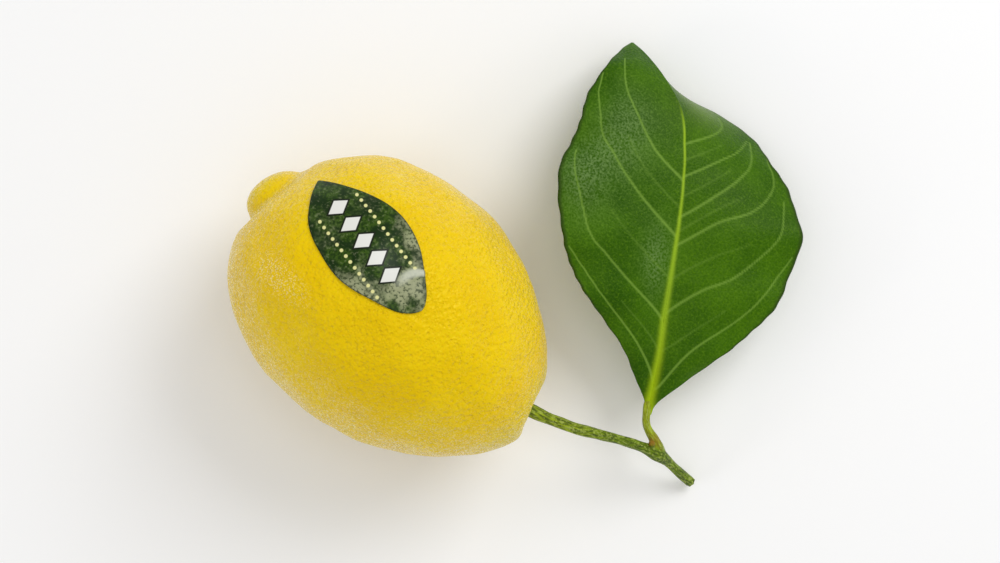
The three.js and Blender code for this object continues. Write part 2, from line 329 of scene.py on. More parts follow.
class NodeGraph:
    """Short ways to add nodes to a tree and to join them."""

    def __init__(self, tree: Tree) -> None:
        """Start from an existing tree."""
        self.tree = tree

    def add(self, kind: str, inputs: dict[str | int, Any] | None = None, **settings: Any) -> Node:
        """Add a node.

        Args:
            kind: The node's type name.
            inputs: A socket to join, or a plain value, for each input by name or number.
            settings: The node's own properties.

        Returns:
            The new node.
        """
        node = self.tree.nodes.new(kind)
        for key, value in settings.items():
            setattr(node, key, value)
        for key, value in (inputs or {}).items():
            if isinstance(value, Socket):
                self.tree.links.new(value, node.inputs[key])
            elif isinstance(value, tuple) and len(value) == 3 and len(node.inputs[key].default_value) == 4:
                node.inputs[key].default_value = (*value, 1.0)
            else:
                node.inputs[key].default_value = value
        return node

    def feed(self, node: Node, sockets: dict[str, Socket]) -> None:
        """Join sockets to a node's inputs by name."""
        for name, socket in sockets.items():
            self.tree.links.new(socket, node.inputs[name])

    def math(self, operation: str, first: Any, second: Any = 0.0) -> Socket:
        """Combine two numbers."""
        return self.add("ShaderNodeMath", {0: first, 1: second}, operation=operation).outputs[0]

    def times(self, first: Any, second: Any) -> Socket:
        """Multiply two numbers."""
        return self.math("MULTIPLY", first, second)

    def minus(self, first: Any, second: Any) -> Socket:
        """Take the second number from the first."""
        return self.math("SUBTRACT", first, second)

    def vector(self, operation: str, first: Any, second: Any) -> Socket:
        """Combine two vectors."""
        return self.add("ShaderNodeVectorMath", {0: first, 1: second}, operation=operation).outputs[0]

    def split(self, vector: Socket, axis: str) -> Socket:
        """Read one coordinate of a vector."""
        return self.add("ShaderNodeSeparateXYZ", {0: vector}).outputs[axis]

    def span(self, value: Any, start: Any, end: Any, low: Any = 0.0, high: Any = 1.0) -> Socket:
        """Map a number smoothly from one range to another."""
        inputs = {"Value": value, "From Min": start, "From Max": end, "To Min": low, "To Max": high}
        return self.add("ShaderNodeMapRange", inputs, interpolation_type="SMOOTHSTEP").outputs[0]

    def noise(self, place: Any, scale: Any, detail: float) -> Socket:
        """Read soft noise round one half at a place."""
        inputs = {"Vector": place, "Scale": scale, "Detail": detail}
        return self.add("ShaderNodeTexNoise", inputs).outputs["Fac"]

    def mix(self, factor: Any, first: Any, second: Any) -> Socket:
        """Blend from the first colour to the second."""
        return self.add("ShaderNodeMix", {0: factor, 6: first, 7: second}, data_type="RGBA").outputs[2]

    def tint(self, under: Any, over: Any, mask: Any, strength: float) -> Socket:
        """Lay a colour over another by a mask, at a strength."""
        return self.mix(self.times(mask, strength), under, over)

    def wash(self, under: Any, value: Any, wash: Wash) -> Socket:
        """Lay a wash over a colour by a value."""
        return self.mix(self.span(value, wash.low, wash.high, 0.0, wash.strength), under, wash.colour)

    def attribute(self, name: str) -> Socket:
        """Read one of the mesh's own values in a material."""
        return self.add("ShaderNodeAttribute", attribute_name=name).outputs["Fac"]

    def place(self) -> Socket:
        """Read the point of the piece in its own coordinates, in metres."""
        return self.add("ShaderNodeTexCoord").outputs["Object"]

    def group(self, tree: Tree, **inputs: Any) -> Any:
        """Place a shared group and give its output sockets."""
        return self.add("ShaderNodeGroup", inputs, node_tree=tree).outputs

    def bump(self, height: Socket, depth: float, under: Socket | None = None) -> Socket:
        """Turn a height of 0 to 1 into a bent normal.

        Args:
            height: The height over the surface.
            depth: How far 1 stands over 0, in millimetres.
            under: A normal that is bent already.

        Returns:
            The bent normal.
        """
        bent = {} if under is None else {"Normal": under}
        inputs = {"Height": height, "Distance": depth * MM, "Strength": 1.0, **bent}
        return self.add("ShaderNodeBump", inputs).outputs["Normal"]

    def mark(self, geometry: Socket, name: str, value: Any) -> Socket:
        """Store a value on every point of a geometry."""
        inputs = {"Geometry": geometry, "Name": name, "Value": value}
        settings = {"data_type": "FLOAT", "domain": "POINT"}
        return self.add("GeometryNodeStoreNamedAttribute", inputs, **settings).outputs[0]

    def join(self, *parts: Socket) -> Socket:
        """Join geometries into one."""
        joined = self.add("GeometryNodeJoinGeometry")
        for part in parts:
            self.tree.links.new(part, joined.inputs[0])
        return joined.outputs[0]

    def close(self, geometry: Socket, material: Socket, end: Node) -> Tree:
        """End a geometry tree with real instances and the material.

        Args:
            geometry: The finished geometry.
            material: The tree's material input.
            end: The tree's output node.

        Returns:
            The whole tree.
        """
        real = self.add("GeometryNodeRealizeInstances", {"Geometry": geometry}).outputs[0]
        dressed = self.add("GeometryNodeSetMaterial", {"Geometry": real, "Material": material})
        self.feed(end, {"Geometry": dressed.outputs[0]})
        return self.tree


def new_tree(
    name: str, kind: str, inputs: dict[str, str], outputs: dict[str, str]
) -> tuple[NodeGraph, Any, Node]:
    """Make an empty node group with named sockets.

    Args:
        name: The group's name.
        kind: The tree's type name.
        inputs: The socket type of each input, without the words NodeSocket.
        outputs: The socket type of each output, likewise.

    Returns:
        The graph, its input sockets by name, and its output node.
    """
    tree = bpy.data.node_groups.new(name, kind)
    for way, sockets in (("INPUT", inputs), ("OUTPUT", outputs)):
        for label, socket in sockets.items():
            tree.interface.new_socket(label, in_out=way, socket_type="NodeSocket" + socket)
    graph = NodeGraph(tree)
    return graph, graph.add("NodeGroupInput").outputs, graph.add("NodeGroupOutput")


def geometry_tree(name: str, inputs: dict[str, str]) -> tuple[NodeGraph, Any, Node]:
    """Make an empty geometry tree, with a geometry before and a material after its named inputs."""
    inputs = {"Geometry": "Geometry", **inputs, "Material": "Material"}
    return new_tree(name, "GeometryNodeTree", inputs, {"Geometry": "Geometry"})


def run_tree(piece: bpy.types.Object, tree: Tree, inputs: dict[str, Any]) -> None:
    """Run a geometry tree over an object and keep the plain mesh that it gives.

    Args:
        piece: The object, whose mesh is the tree's first input.
        tree: The geometry tree.
        inputs: The value of each named input.
    """
    modifier = piece.modifiers.new(tree.name, "NODES")
    modifier.node_group = tree
    for item in tree.interface.items_tree:
        if item.item_type == "SOCKET" and item.in_out == "INPUT" and item.name in inputs:
            modifier[item.identifier] = inputs[item.name]
    depsgraph = bpy.context.evaluated_depsgraph_get()
    rough = piece.data
    finished = bpy.data.meshes.new_from_object(
        piece.evaluated_get(depsgraph), preserve_all_data_layers=True, depsgraph=depsgraph
    )
    piece.modifiers.remove(modifier)
    piece.data = finished
    bpy.data.meshes.remove(rough)
    finished.name = piece.name


class ShaderGroups:
    """The effects that several finishes share, each built once."""

    def __init__(self) -> None:
        """Build the three groups."""
        self.mottling = self._mottling()
        self.pores = self._pores()
        self.fibres = self._fibres()

    def mottled(self, graph: NodeGraph, place: Socket, mottle: Mottle, **colours: Colour) -> Any:
        """Place the mottling in a material and give its output sockets."""
        inputs = {"Scale": mottle.scale, "Softness": mottle.softness, **colours}
        return graph.group(self.mottling, Vector=place, **inputs)

    def pitted(self, graph: NodeGraph, place: Socket, pits: Pits) -> Any:
        """Place the pores in a material and give their output sockets."""
        return graph.group(self.pores, Vector=place, Scale=pits.scale, Size=pits.size)

    @staticmethod
    def _mottling() -> Tree:
        """Two colours that run into each other in soft patches."""
        inputs = {"Vector": "Vector", "Scale": "Float", "Softness": "Float"}
        inputs |= {"First": "Color", "Second": "Color"}
        outputs = {"Color": "Color", "Mask": "Float"}
        graph, given, end = new_tree("Mottling", "ShaderNodeTree", inputs, outputs)
        patches = {"Vector": given["Vector"], "Scale": given["Scale"], "Detail": 4.0, "Roughness": 0.55}
        noise = graph.add("ShaderNodeTexNoise", patches).outputs["Fac"]
        low, high = (graph.math(way, 0.5, given["Softness"]) for way in ("SUBTRACT", "ADD"))
        mask = graph.span(noise, low, high)
        graph.feed(end, {"Color": graph.mix(mask, given["First"], given["Second"]), "Mask": mask})
        return graph.tree

    @staticmethod
    def _pores() -> Tree:
        """Small round pits of uneven strength."""
        inputs = {"Vector": "Vector", "Scale": "Float", "Size": "Float"}
        outputs = {"Mask": "Float", "Height": "Float"}
        graph, given, end = new_tree("Pores", "ShaderNodeTree", inputs, outputs)
        cells = graph.add("ShaderNodeTexVoronoi", {"Vector": given["Vector"], "Scale": given["Scale"]})
        mask = graph.span(cells.outputs["Distance"], given["Size"], 0.0)
        graph.feed(end, {"Mask": mask, "Height": graph.minus(1.0, mask)})
        return graph.tree

    @staticmethod
    def _fibres() -> Tree:
        """Fine streaks that run along a stem, from its own run and turn."""
        inputs = {"Run": "Float", "Turn": "Float", "Density": "Float", "Length": "Float"}
        graph, given, end = new_tree("Fibres", "ShaderNodeTree", inputs, {"Mask": "Float"})
        across = graph.times(graph.math("COSINE", given["Turn"]), given["Density"])
        aside = graph.times(graph.math("SINE", given["Turn"]), given["Density"])
        onward = graph.math("DIVIDE", given["Run"], given["Length"])
        place = graph.add("ShaderNodeCombineXYZ", {"X": across, "Y": aside, "Z": onward}).outputs[0]
        graph.feed(end, {"Mask": graph.span(graph.noise(place, 1.0, 3.0), 0.35, 0.65)})
        return graph.tree


@dataclass(frozen=True)
class Finish:
    """What every finish sets straight on its shader."""

    roughness: float = 0.5
    specular: float = 0.5
    specular_tint: Colour = (1.0, 1.0, 1.0)
    sheen: float = 0.0
    sheen_roughness: float = 0.4
    subsurface: float = 0.0
    subsurface_radius: Colour = (1.0, 0.5, 0.2)
    subsurface_scale: float = 0.001

    def start(self, name: str) -> tuple[NodeGraph, Node, Material]:
        """Make the material with its shader.

        Args:
            name: The material's plain name.

        Returns:
            The material's graph, its Principled shader and the material.
        """
        material = bpy.data.materials.new(name)
        material.use_nodes = True
        shader = material.node_tree.nodes["Principled BSDF"]
        settings = {
            "Roughness": self.roughness,
            "Specular IOR Level": self.specular,
            "Specular Tint": (*self.specular_tint, 1.0),
            "Sheen Weight": self.sheen,
            "Sheen Roughness": self.sheen_roughness,
            "Subsurface Weight": self.subsurface,
            "Subsurface Radius": self.subsurface_radius,
            "Subsurface Scale": self.subsurface_scale,
        }
        for socket, value in settings.items():
            shader.inputs[socket].default_value = value
        return NodeGraph(material.node_tree), shader, material


@dataclass(frozen=True)
class PeelFinish(Finish):
    """Waxy yellow rind with oil pits, and pale specks painted in as glints and reflection. Its places are in
    metres.
    """

    roughness: float = 0.22
    specular: float = 0.3
    specular_tint: Colour = (1.0, 0.85, 0.2)
    sheen: float = 0.02
    subsurface: float = 0.12
    subsurface_radius: Colour = (1.0, 0.6, 0.1)
    subsurface_scale: float = 0.0018
    bright: Colour = (0.85, 0.6, 0.003)
    deep: Colour = (0.81, 0.54, 0.001)
    patches: Mottle = Mottle(55.0, 0.2)
    pit: Colour = (0.7, 0.42, 0.001)
    pit_strength: float = 0.1
    pores: Pits = Pits(1450.0, 0.65, 0.13)
    pore_strength: float = 0.2
    dimples: Pits = Pits(950.0, 0.75, 0.2)
    dimple_stretch: Point = (1.0, 0.65, 0.65)
    green: Colour = (0.66, 0.55, 0.005)
    stem_green: Wash = Wash(green, 0.034, 0.043, 0.45)
    tip_green: Wash = Wash(green, -0.037, -0.044, 0.25)
    grain_scale: float = 2400.0
    grain_depth: float = 0.04
    gloss_from: Pair = (0.3, 0.7)
    gloss_spread: Pair = (-0.05, 0.08)
    # Painted reflection and glints: pale specks in the colour where the rind is seen at a slant, stronger
    # towards -Y, and in a patch on the ridge near the nipple.
    painted_glint: Colour = (0.95, 0.86, 0.5)
    painted_glint_specks: Pair = (0.52, 0.64)
    painted_glint_facing: Pair = (0.15, 0.85)
    painted_glint_side: Pair = (0.02, -0.015)
    painted_glint_side_strength: Pair = (0.3, 0.85)
    glint_place: Point = (-0.025, -0.01, 0.0565)
    glint_reach: Point = (0.016, 0.006, 0.012)
    glint_strength: float = 0.55

    def build(self, groups: ShaderGroups) -> Material:
        """Make the rind's material."""
        graph, shader, material = self.start("lemon_peel")
        place = graph.place()
        broad = groups.mottled(graph, place, self.patches, First=self.bright, Second=self.deep)
        pores = groups.pitted(graph, place, self.pores)
        pits = graph.times(graph.attribute("pit"), self.pit_strength)
        marks = graph.math("MAXIMUM", pits, graph.times(pores["Mask"], self.pore_strength))
        colour = graph.mix(marks, broad["Color"], self.pit)
        along = graph.split(place, "X")
        colour = graph.wash(colour, along, self.stem_green)
        colour = graph.wash(colour, along, self.tip_green)
        stretched = graph.vector("MULTIPLY", place, self.dimple_stretch)
        dimples = groups.pitted(graph, stretched, self.dimples)
        coarse = graph.bump(dimples["Height"], self.dimples.depth)
        bent = graph.bump(pores["Height"], self.pores.depth, coarse)
        grain = graph.noise(place, self.grain_scale, 2.0)
        gloss = (self.roughness + off for off in self.gloss_spread)
        sockets = {
            # The colour carries the painted glints and reflection.
            "Base Color": self.painted_glints(graph, place, grain, colour),
            "Roughness": graph.span(grain, *self.gloss_from, *gloss),
            "Normal": graph.bump(grain, self.grain_depth, bent),
        }
        graph.feed(shader, sockets)
        return material

    def painted_glints(self, graph: NodeGraph, place: Socket, grain: Socket, colour: Socket) -> Socket:
        """Paint pale specks as a reflection where the rind is seen at a slant, and a patch of them as painted
        glints on the ridge near the nipple.

        Args:
            graph: The material's graph.
            place: The point's coordinates.
            grain: The fine noise that makes the specks.
            colour: The colour so far.

        Returns:
            The colour with the specks on it.
        """
        facing = graph.add("ShaderNodeLayerWeight", {"Blend": 0.5}).outputs["Facing"]
        side = graph.span(graph.split(place, "Y"), *self.painted_glint_side, *self.painted_glint_side_strength)
        slant = graph.times(graph.span(facing, *self.painted_glint_facing), side)
        offset = graph.vector("DIVIDE", graph.vector("SUBTRACT", place, self.glint_place), self.glint_reach)
        away = graph.add("ShaderNodeVectorMath", {0: offset}, operation="LENGTH").outputs["Value"]
        reach = graph.math("MAXIMUM", slant, graph.span(away, 1.0, 0.2, 0.0, self.glint_strength))
        return graph.mix(graph.times(graph.span(grain, *self.painted_glint_specks), reach), colour, self.painted_glint)


@dataclass(frozen=True)
class LeafFinish(Finish):
    """Leathery leaf: glossy dark green above, pale and dull below, with pale veins."""

    roughness: float = 0.38
    specular: float = 0.14
    specular_tint: Colour = (0.8, 1.0, 0.4)
    dark: Colour = (0.018, 0.074, 0.0004)
    fresh: Colour = (0.05, 0.142, 0.001)
    patches: Mottle = Mottle(70.0, 0.25)
    grain_scale: float = 1900.0
    grain_depth: float = 0.07
    fleck: Wash = Wash((0.1, 0.22, 0.003), 0.5, 0.72, 0.4)
    shadow: Wash = Wash(dark, 0.5, 0.3, 0.45)
    # Painted light: a pale patch where the right side of the blade slopes steeply down towards the light.
    pale: Colour = (0.17, 0.26, 0.045)
    pale_strength: float = 0.45
    gleam: Colour = (0.17, 0.27, 0.1)
    gleam_specks: Pair = (0.35, 0.65)
    gleam_strength: float = 0.5
    net_scale: float = 900.0
    net_width: float = 0.12
    net_strength: float = 0.07
    net_shoulder: float = 0.3
    net_depth: float = 0.03
    vein: Colour = (0.2, 0.35, 0.05)
    vein_strength: float = 0.6
    midrib: Colour = (0.27, 0.43, 0.018)
    base: Colour = (0.34, 0.48, 0.006)
    # Painted shade: a darker line along the blade's margins.
    rim: Colour = (0.02, 0.042, 0.006)
    rim_strength: float = 0.75
    under: Colour = (0.15, 0.25, 0.05)
    under_strength: float = 0.85
    under_roughness: float = 0.68

    def build(self, groups: ShaderGroups) -> Material:
        """Make the leaf's material."""
        graph, shader, material = self.start("lemon_leaf")
        place = graph.place()
        broad = groups.mottled(graph, place, self.patches, First=self.dark, Second=self.fresh)
        cells = {"Vector": place, "Scale": self.net_scale, "Randomness": 0.9}
        net = graph.add("ShaderNodeTexVoronoi", cells, feature="DISTANCE_TO_EDGE").outputs["Distance"]
        grain = graph.noise(place, self.grain_scale, 3.0)
        below = graph.attribute("underside")
        colour = graph.wash(broad["Color"], grain, self.fleck)
        colour = graph.wash(colour, grain, self.shadow)
        # Lay on the painted light of the pale patch.
        colour = graph.tint(colour, self.pale, graph.attribute("pale"), self.pale_strength)
        specks = graph.span(grain, *self.gleam_specks, 0.0, self.gleam_strength)
        colour = graph.mix(graph.times(graph.attribute("gleam"), specks), colour, self.gleam)
        colour = graph.tint(colour, self.vein, graph.span(net, self.net_width, 0.0), self.net_strength)
        colour = graph.tint(colour, self.vein, graph.attribute("vein"), self.vein_strength)
        colour = graph.tint(colour, self.under, below, self.under_strength)
        rib = graph.mix(graph.attribute("base"), self.midrib, self.base)
        colour = graph.mix(graph.attribute("midrib"), colour, rib)
        # Lay on the painted shade along the margins.
        colour = graph.tint(colour, self.rim, graph.attribute("margin"), self.rim_strength)
        relief = graph.bump(graph.span(net, 0.0, self.net_shoulder), self.net_depth)
        sockets = {
            "Base Color": colour,
            "Roughness": graph.span(below, 0.0, 1.0, self.roughness, self.under_roughness),
            "Normal": graph.bump(grain, self.grain_depth, relief),
        }
        graph.feed(shader, sockets)
        return material


@dataclass(frozen=True)
class StemFinish(Finish):
    """Green bark with lengthwise streaks, pale flecks painted in as highlights, corky specks and a pale cut.

    Fibres are given by their density round the stem and their length in millimetres.
    """

    roughness: float = 0.5
    specular: float = 0.2
    start_colour: Colour = (0.33, 0.42, 0.006)
    end_colour: Colour = (0.15, 0.235, 0.003)
    colour_range: Pair = (0.05, 0.5)
    streak: Colour = (0.03, 0.055, 0.001)
    streak_fibres: Pair = (3.2, 2.2)
    streak_strength: float = 0.85
    streak_depth: float = 0.1
    # Painted highlights: pale flecks along the fibres.
    bright: Wash = Wash((0.42, 0.5, 0.1), 0.6, 1.0, 0.5)
    highlight_fibres: Pair = (2.6, 0.9)
    flecks: Pits = Pits(700.0, 0.3, 0.03)
    fleck_strength: float = 0.25
    cork: Colour = (0.42, 0.45, 0.12)
    bud: Colour = (0.3, 0.14, 0.008)
    cut: Colour = (0.36, 0.4, 0.13)
    cut_edge: Pair = (0.02, 0.12)
    pith: Wash = Wash((0.6, 0.58, 0.36), 0.55, 0.85)

    def build(self, groups: ShaderGroups, name: str) -> Material:
        """Make the bark's material.

        Args:
            groups: The shared shader groups.
            name: The material's plain name.

        Returns:
            The material.
        """
        graph, shader, material = self.start(name)
        stem = {"Run": graph.attribute("run"), "Turn": graph.attribute("turn")}
        streaks, lights = (
            graph.group(groups.fibres, Density=density, Length=length, **stem)["Mask"]
            for density, length in (self.streak_fibres, self.highlight_fibres)
        )
        flecks = groups.pitted(graph, graph.place(), self.flecks)
        onward = graph.span(graph.attribute("share"), *self.colour_range)
        colour = graph.mix(onward, self.start_colour, self.end_colour)
        colour = graph.tint(colour, self.streak, streaks, self.streak_strength)
        # Lay on the painted highlight flecks.
        colour = graph.wash(colour, lights, self.bright)
        colour = graph.tint(colour, self.streak, flecks["Mask"], self.fleck_strength)
        colour = graph.mix(graph.attribute("cork"), colour, self.cork)
        colour = graph.mix(graph.attribute("bud"), colour, self.bud)
        cut = graph.attribute("cut")
        wood = graph.wash(self.cut, cut, self.pith)
        ridges = graph.bump(streaks, self.streak_depth)
        sockets = {
            "Base Color": graph.mix(graph.span(cut, *self.cut_edge), colour, wood),
            "Normal": graph.bump(flecks["Height"], self.flecks.depth, ridges),
        }
        graph.feed(shader, sockets)
        return material


@dataclass(frozen=True)
class LabelFinish(Finish):
    """Glossy printed film: mottled dark green with a plain row of lozenges between two rows of dots.

    Lengths of the print are in millimetres along and across the label.
    """

    roughness: float = 0.25
    specular: float = 0.15
    dark: Colour = (0.006, 0.024, 0.001)
    leafy: Colour = (0.035, 0.08, 0.004)
    patches: Mottle = Mottle(260.0, 0.12)
    pale: Colour = (0.4, 0.42, 0.24)
    clouds: Mottle = Mottle(120.0, 0.09)
    cloud_range: Pair = (12.0, 26.0)
    cloud_strength: Pair = (0.06, 0.75)
    grain_scale: float = 1400.0
    soot: Wash = Wash(dark, 0.48, 0.62, 0.75)
    dust: Wash = Wash(pale, 0.45, 0.3, 0.2)
    # Painted highlight: a pale line along the crease.
    crease_highlight: Wash = Wash((0.62, 0.64, 0.52), 0.1, 0.8, 0.75)
    # Dark print colour, also used for the painted shade along the film's edge.
    ink_and_edge_shade: Colour = (0.008, 0.014, 0.004)
    # Painted shade: darker towards the film's edge.
    rim: Wash = Wash(ink_and_edge_shade, 0.35, 0.15, 0.6)
    white: Colour = (0.75, 0.75, 0.7)
    lozenge_pitch: float = 5.0
    lozenge_half: Pair = (1.9, 2.9)
    lozenge_middle: float = 17.5
    lozenge_reach: float = 12.5
    lozenge_edge: Pair = (1.0, 0.92)
    outline_edge: Pair = (1.28, 1.18)
    cream: Colour = (0.72, 0.7, 0.3)
    dot_pitch: float = 1.7
    dot_edge: Pair = (0.52, 0.32)
    dot_row: float = 5.4
    dot_middle: float = 18.7
    dot_reach: float = 11.9

    def build(self, groups: ShaderGroups) -> Material:
        """Make the film's material."""
        graph, shader, material = self.start("label_print")
        place = graph.place()
        along, across = graph.attribute("along"), graph.attribute("across")
        broad = groups.mottled(graph, place, self.patches, First=self.dark, Second=self.leafy)
        clouds = groups.mottled(graph, place, self.clouds)["Mask"]
        shown = graph.times(clouds, graph.span(along, *self.cloud_range, *self.cloud_strength))
        colour = graph.mix(shown, broad["Color"], self.pale)
        grain = graph.noise(place, self.grain_scale, 3.0)
        colour = graph.wash(colour, grain, self.soot)
        colour = graph.wash(colour, grain, self.dust)
        colour = self.lozenges(graph, along, across, colour)
        colour = self.dots(graph, along, across, colour)
        # Lay on the painted highlight along the crease.
        colour = graph.wash(colour, graph.attribute("crease"), self.crease_highlight)
        # Lay on the painted shade along the edge.
        colour = graph.wash(colour, graph.attribute("inset"), self.rim)
        graph.feed(shader, {"Base Color": colour})
        return material

    @staticmethod
    def row(
        graph: NodeGraph, along: Socket, pitch: float, middle: float, reach: float
    ) -> tuple[Socket, Socket]:
        """Lay out a row of equal prints along the label.

        Args:
            graph: The material's graph.
            along: Millimetres from the label's first tip.
            pitch: The step from print to print.
            middle: The middle of the row.
            reach: How far the row runs to both sides of it.

        Returns:
            Millimetres from the middle of the nearest print, and 1 where the row runs.
        """
        local = graph.minus(graph.math("FLOORED_MODULO", along, pitch), pitch / 2)
        off_middle = graph.math("ABSOLUTE", graph.minus(along, middle))
        return local, graph.math("LESS_THAN", off_middle, reach)

    def lozenges(self, graph: NodeGraph, along: Socket, across: Socket, under: Socket) -> Socket:
        """Print a row of white lozenges with a dark outline along the middle.

        Args:
            graph: The material's graph.
            along: Millimetres from the label's first tip.
            across: Millimetres from its middle line.
            under: The colour so far.

        Returns:
            The colour with the row on it.
        """
        local, inside = self.row(graph, along, self.lozenge_pitch, self.lozenge_middle, self.lozenge_reach)
        shares = [
            graph.math("DIVIDE", graph.math("ABSOLUTE", off), half)
            for off, half in zip((local, across), self.lozenge_half)
        ]
        size = graph.math("ADD", *shares)
        outline = graph.times(graph.span(size, *self.outline_edge), inside)
        body = graph.times(graph.span(size, *self.lozenge_edge), inside)
        return graph.mix(body, graph.mix(outline, under, self.ink_and_edge_shade), self.white)

    def dots(self, graph: NodeGraph, along: Socket, across: Socket, under: Socket) -> Socket:
        """Print a row of cream dots on each side of the lozenges.

        Args:
            graph: The material's graph.
            along: Millimetres from the label's first tip.
            across: Millimetres from its middle line.
            under: The colour so far.

        Returns:
            The colour with the dots on it.
        """
        local, inside = self.row(graph, along, self.dot_pitch, self.dot_middle, self.dot_reach)
        aside = graph.minus(graph.math("ABSOLUTE", across), self.dot_row)
        squares = [graph.math("POWER", off, 2.0) for off in (local, aside)]
        away = graph.math("SQRT", graph.math("ADD", *squares))
        return graph.mix(graph.times(graph.span(away, *self.dot_edge), inside), under, self.cream)


@dataclass(frozen=True)
class EndShape:
    """One half of the fruit's profile: how far it reaches, and how it rounds off."""

    reach: float
    power: float
    root: float


@dataclass(frozen=True)
class FruitForm:
    """The fruit's form, which the peel, the calyx and the label all follow."""

    radius: float = 32.6
    flat_depth: float = 1.1
    stem_end: EndShape = EndShape(45, 1.8, 0.605)
    blossom_end: EndShape = EndShape(40.8, 2.2, 0.46)
    axis_side: float = -0.15
    stem_bend: float = 1.3
    blossom_bend: float = 2.2
    axis_at: float = 40.0
    nipple_side: float = 3.7
    nipple_radius: float = 8.05
    nipple_height: float = 3.5
    nipple_flatness: float = 2.4
    nipple_roundness: float = 0.75
    nipple_range: Pair = (-30.0, -38.0)
    groove_radius: float = 9.8
    groove_width: float = 2.2
    groove_depth: float = 0.7
    groove_notch: float = 0.7
    groove_notch_from: float = 0.2
    hollow_side: float = 2.0
    hollow_radius: float = 4.5
    hollow_depth: float = 4.8
    body_lobes: float = 0.35
    nipple_lobes: float = 0.6
    lobe_range: Pair = (-14.0, -36.0)
    broad_lobe: tuple[float, int, float] = (0.55, 3, 0.9)
    narrow_lobe: tuple[float, int, float] = (0.45, 5, -0.6)
    ridge_height: float = 1.1
    ridge_at: float = -39.0
    ridge_turn: float = -45.0
    ridge_drift: float = 1.4
    ridge_width: float = 0.24
    ridge_range: Pair = (-6.0, -30.0)
    valley_depth: float = 0.9
    valley_beside: float = 0.5
    valley_width: float = 0.26
    wave_height: float = 0.16
    wave_along: float = 0.42
    wave_sway: float = 1.3
    wave_sway_count: int = 3
    wave_round: int = 11
    wave_slant: float = 0.2

    @property
    def centre_height(self) -> float:
        """Height of the fruit's middle line over the flat spot."""
        return self.radius - self.flat_depth

    def plain_radius(self, x: Array) -> Array:
        """Radius without nipple, hollow or lobes."""
        sides = []
        for end in (self.stem_end, self.blossom_end):
            share = np.minimum(np.abs(x) / end.reach, 1)
            sides.append(self.radius * (1 - share**end.power) ** end.root)
        return np.where(x > 0, sides[0], sides[1])

    def axis_y(self, x: Array | float) -> Array:
        """Sideways place of the middle line, which bends a little towards both ends."""
        bend = np.where(np.asarray(x) > 0, self.stem_bend, self.blossom_bend)
        return self.axis_side - bend * (x / self.axis_at) ** 4

    def swell(self, x: Array, turn: Array) -> Array:
        """How far the peel stands off the plain radius."""
        waves = (self.broad_lobe, self.narrow_lobe)
        lobes = sum(share * np.cos(count * turn + shift) for share, count, shift in waves)
        ridge_turn = np.radians(self.ridge_turn + self.ridge_drift * (x - self.ridge_at))
        off_ridge = np.arctan2(np.sin(turn - ridge_turn), np.cos(turn - ridge_turn))
        off_valley = turn - ridge_turn - self.valley_beside
        off_valley = np.arctan2(np.sin(off_valley), np.cos(off_valley))
        ridge = self.ridge_height * hump(off_ridge, self.ridge_width)
        valley = self.valley_depth * hump(off_valley, self.valley_width)
        rolling = np.sin(self.wave_along * x + self.wave_sway * np.sin(self.wave_sway_count * turn))
        ripple = np.cos(self.wave_round * turn + self.wave_slant * x)
        lobed = (self.body_lobes + self.nipple_lobes * rise(x, *self.lobe_range)) * lobes
        return lobed + rise(x, *self.ridge_range) * (ridge - valley) + self.wave_height * (rolling + ripple)

    def nipple_lift(self, y: Array, z: Array) -> Array:
        """How far the nipple stands out past its blunt base."""
        off = y - self.nipple_side
        away = np.hypot(off, z - self.centre_height)
        share = np.minimum(away / self.nipple_radius, 1)
        dome = self.nipple_height * (1 - share**self.nipple_flatness) ** self.nipple_roundness
        notch = self.groove_notch * rise(-off / np.maximum(away, 1), self.groove_notch_from, 1)
        return dome - (self.groove_depth + notch) * hump(away - self.groove_radius, self.groove_width)

    def hollow(self, y: Array, z: Array) -> Array:
        """How deep the stem's hollow is."""
        away = np.hypot(y - self.hollow_side, z - self.centre_height)
        return self.hollow_depth * hump(away, self.hollow_radius)

    def point(self, x: Array, turn: Array) -> Array:
        """Find points of the peel.

        Args:
            x: Place along the fruit.
            turn: Turn about its middle line, 0 on top and growing towards +Y.

        Returns:
            The points, with their coordinates last.
        """
        plain = self.plain_radius(x)
        radius = plain + plain / self.radius * self.swell(x, turn)
        y = self.axis_y(x) + radius * np.sin(turn)
        z = self.centre_height + radius * np.cos(turn)
        nipple = self.nipple_lift(y, z) * rise(x, *self.nipple_range)
        return np.stack([x + np.where(x > 0, -self.hollow(y, z), -nipple), y, z], axis=-1)

    def point_over(self, x: Array, turn: Array, height: Array | float) -> Array:
        """Find points that stand off the peel by a height."""
        step = 0.6
        ahead = self.point(x + step, turn) - self.point(x - step, turn)
        around = self.point(x, turn + step / self.radius) - self.point(x, turn - step / self.radius)
        normal = unit(np.cross(ahead, around))
        return self.point(x, turn) + normal * np.asarray(height)[..., None]

    def stem_end_x(self, y: Array, z: Array) -> Array:
        """Place of the hollow's floor along the fruit."""
        end = self.stem_end
        away = np.hypot(y - self.axis_y(end.reach), z - self.centre_height)
        share = (away / self.radius) ** (1 / end.root)
        return end.reach * (1 - share) ** (1 / end.power) - self.hollow(y, z)


class Piece:
    """A visible piece that stands for one node of the frame."""

    node: ClassVar[str]
    slot: ClassVar[Slot]
    body: ClassVar[str] = "root"

    def settle(self, piece: bpy.types.Object) -> None:
        """Tie the finished object to the frame and report it."""
        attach(piece, self.body)
        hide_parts(self.node)
        piece.data.calc_loop_triangles()
        LOG.info("%s: %d triangles", piece.name, len(piece.data.loop_triangles))


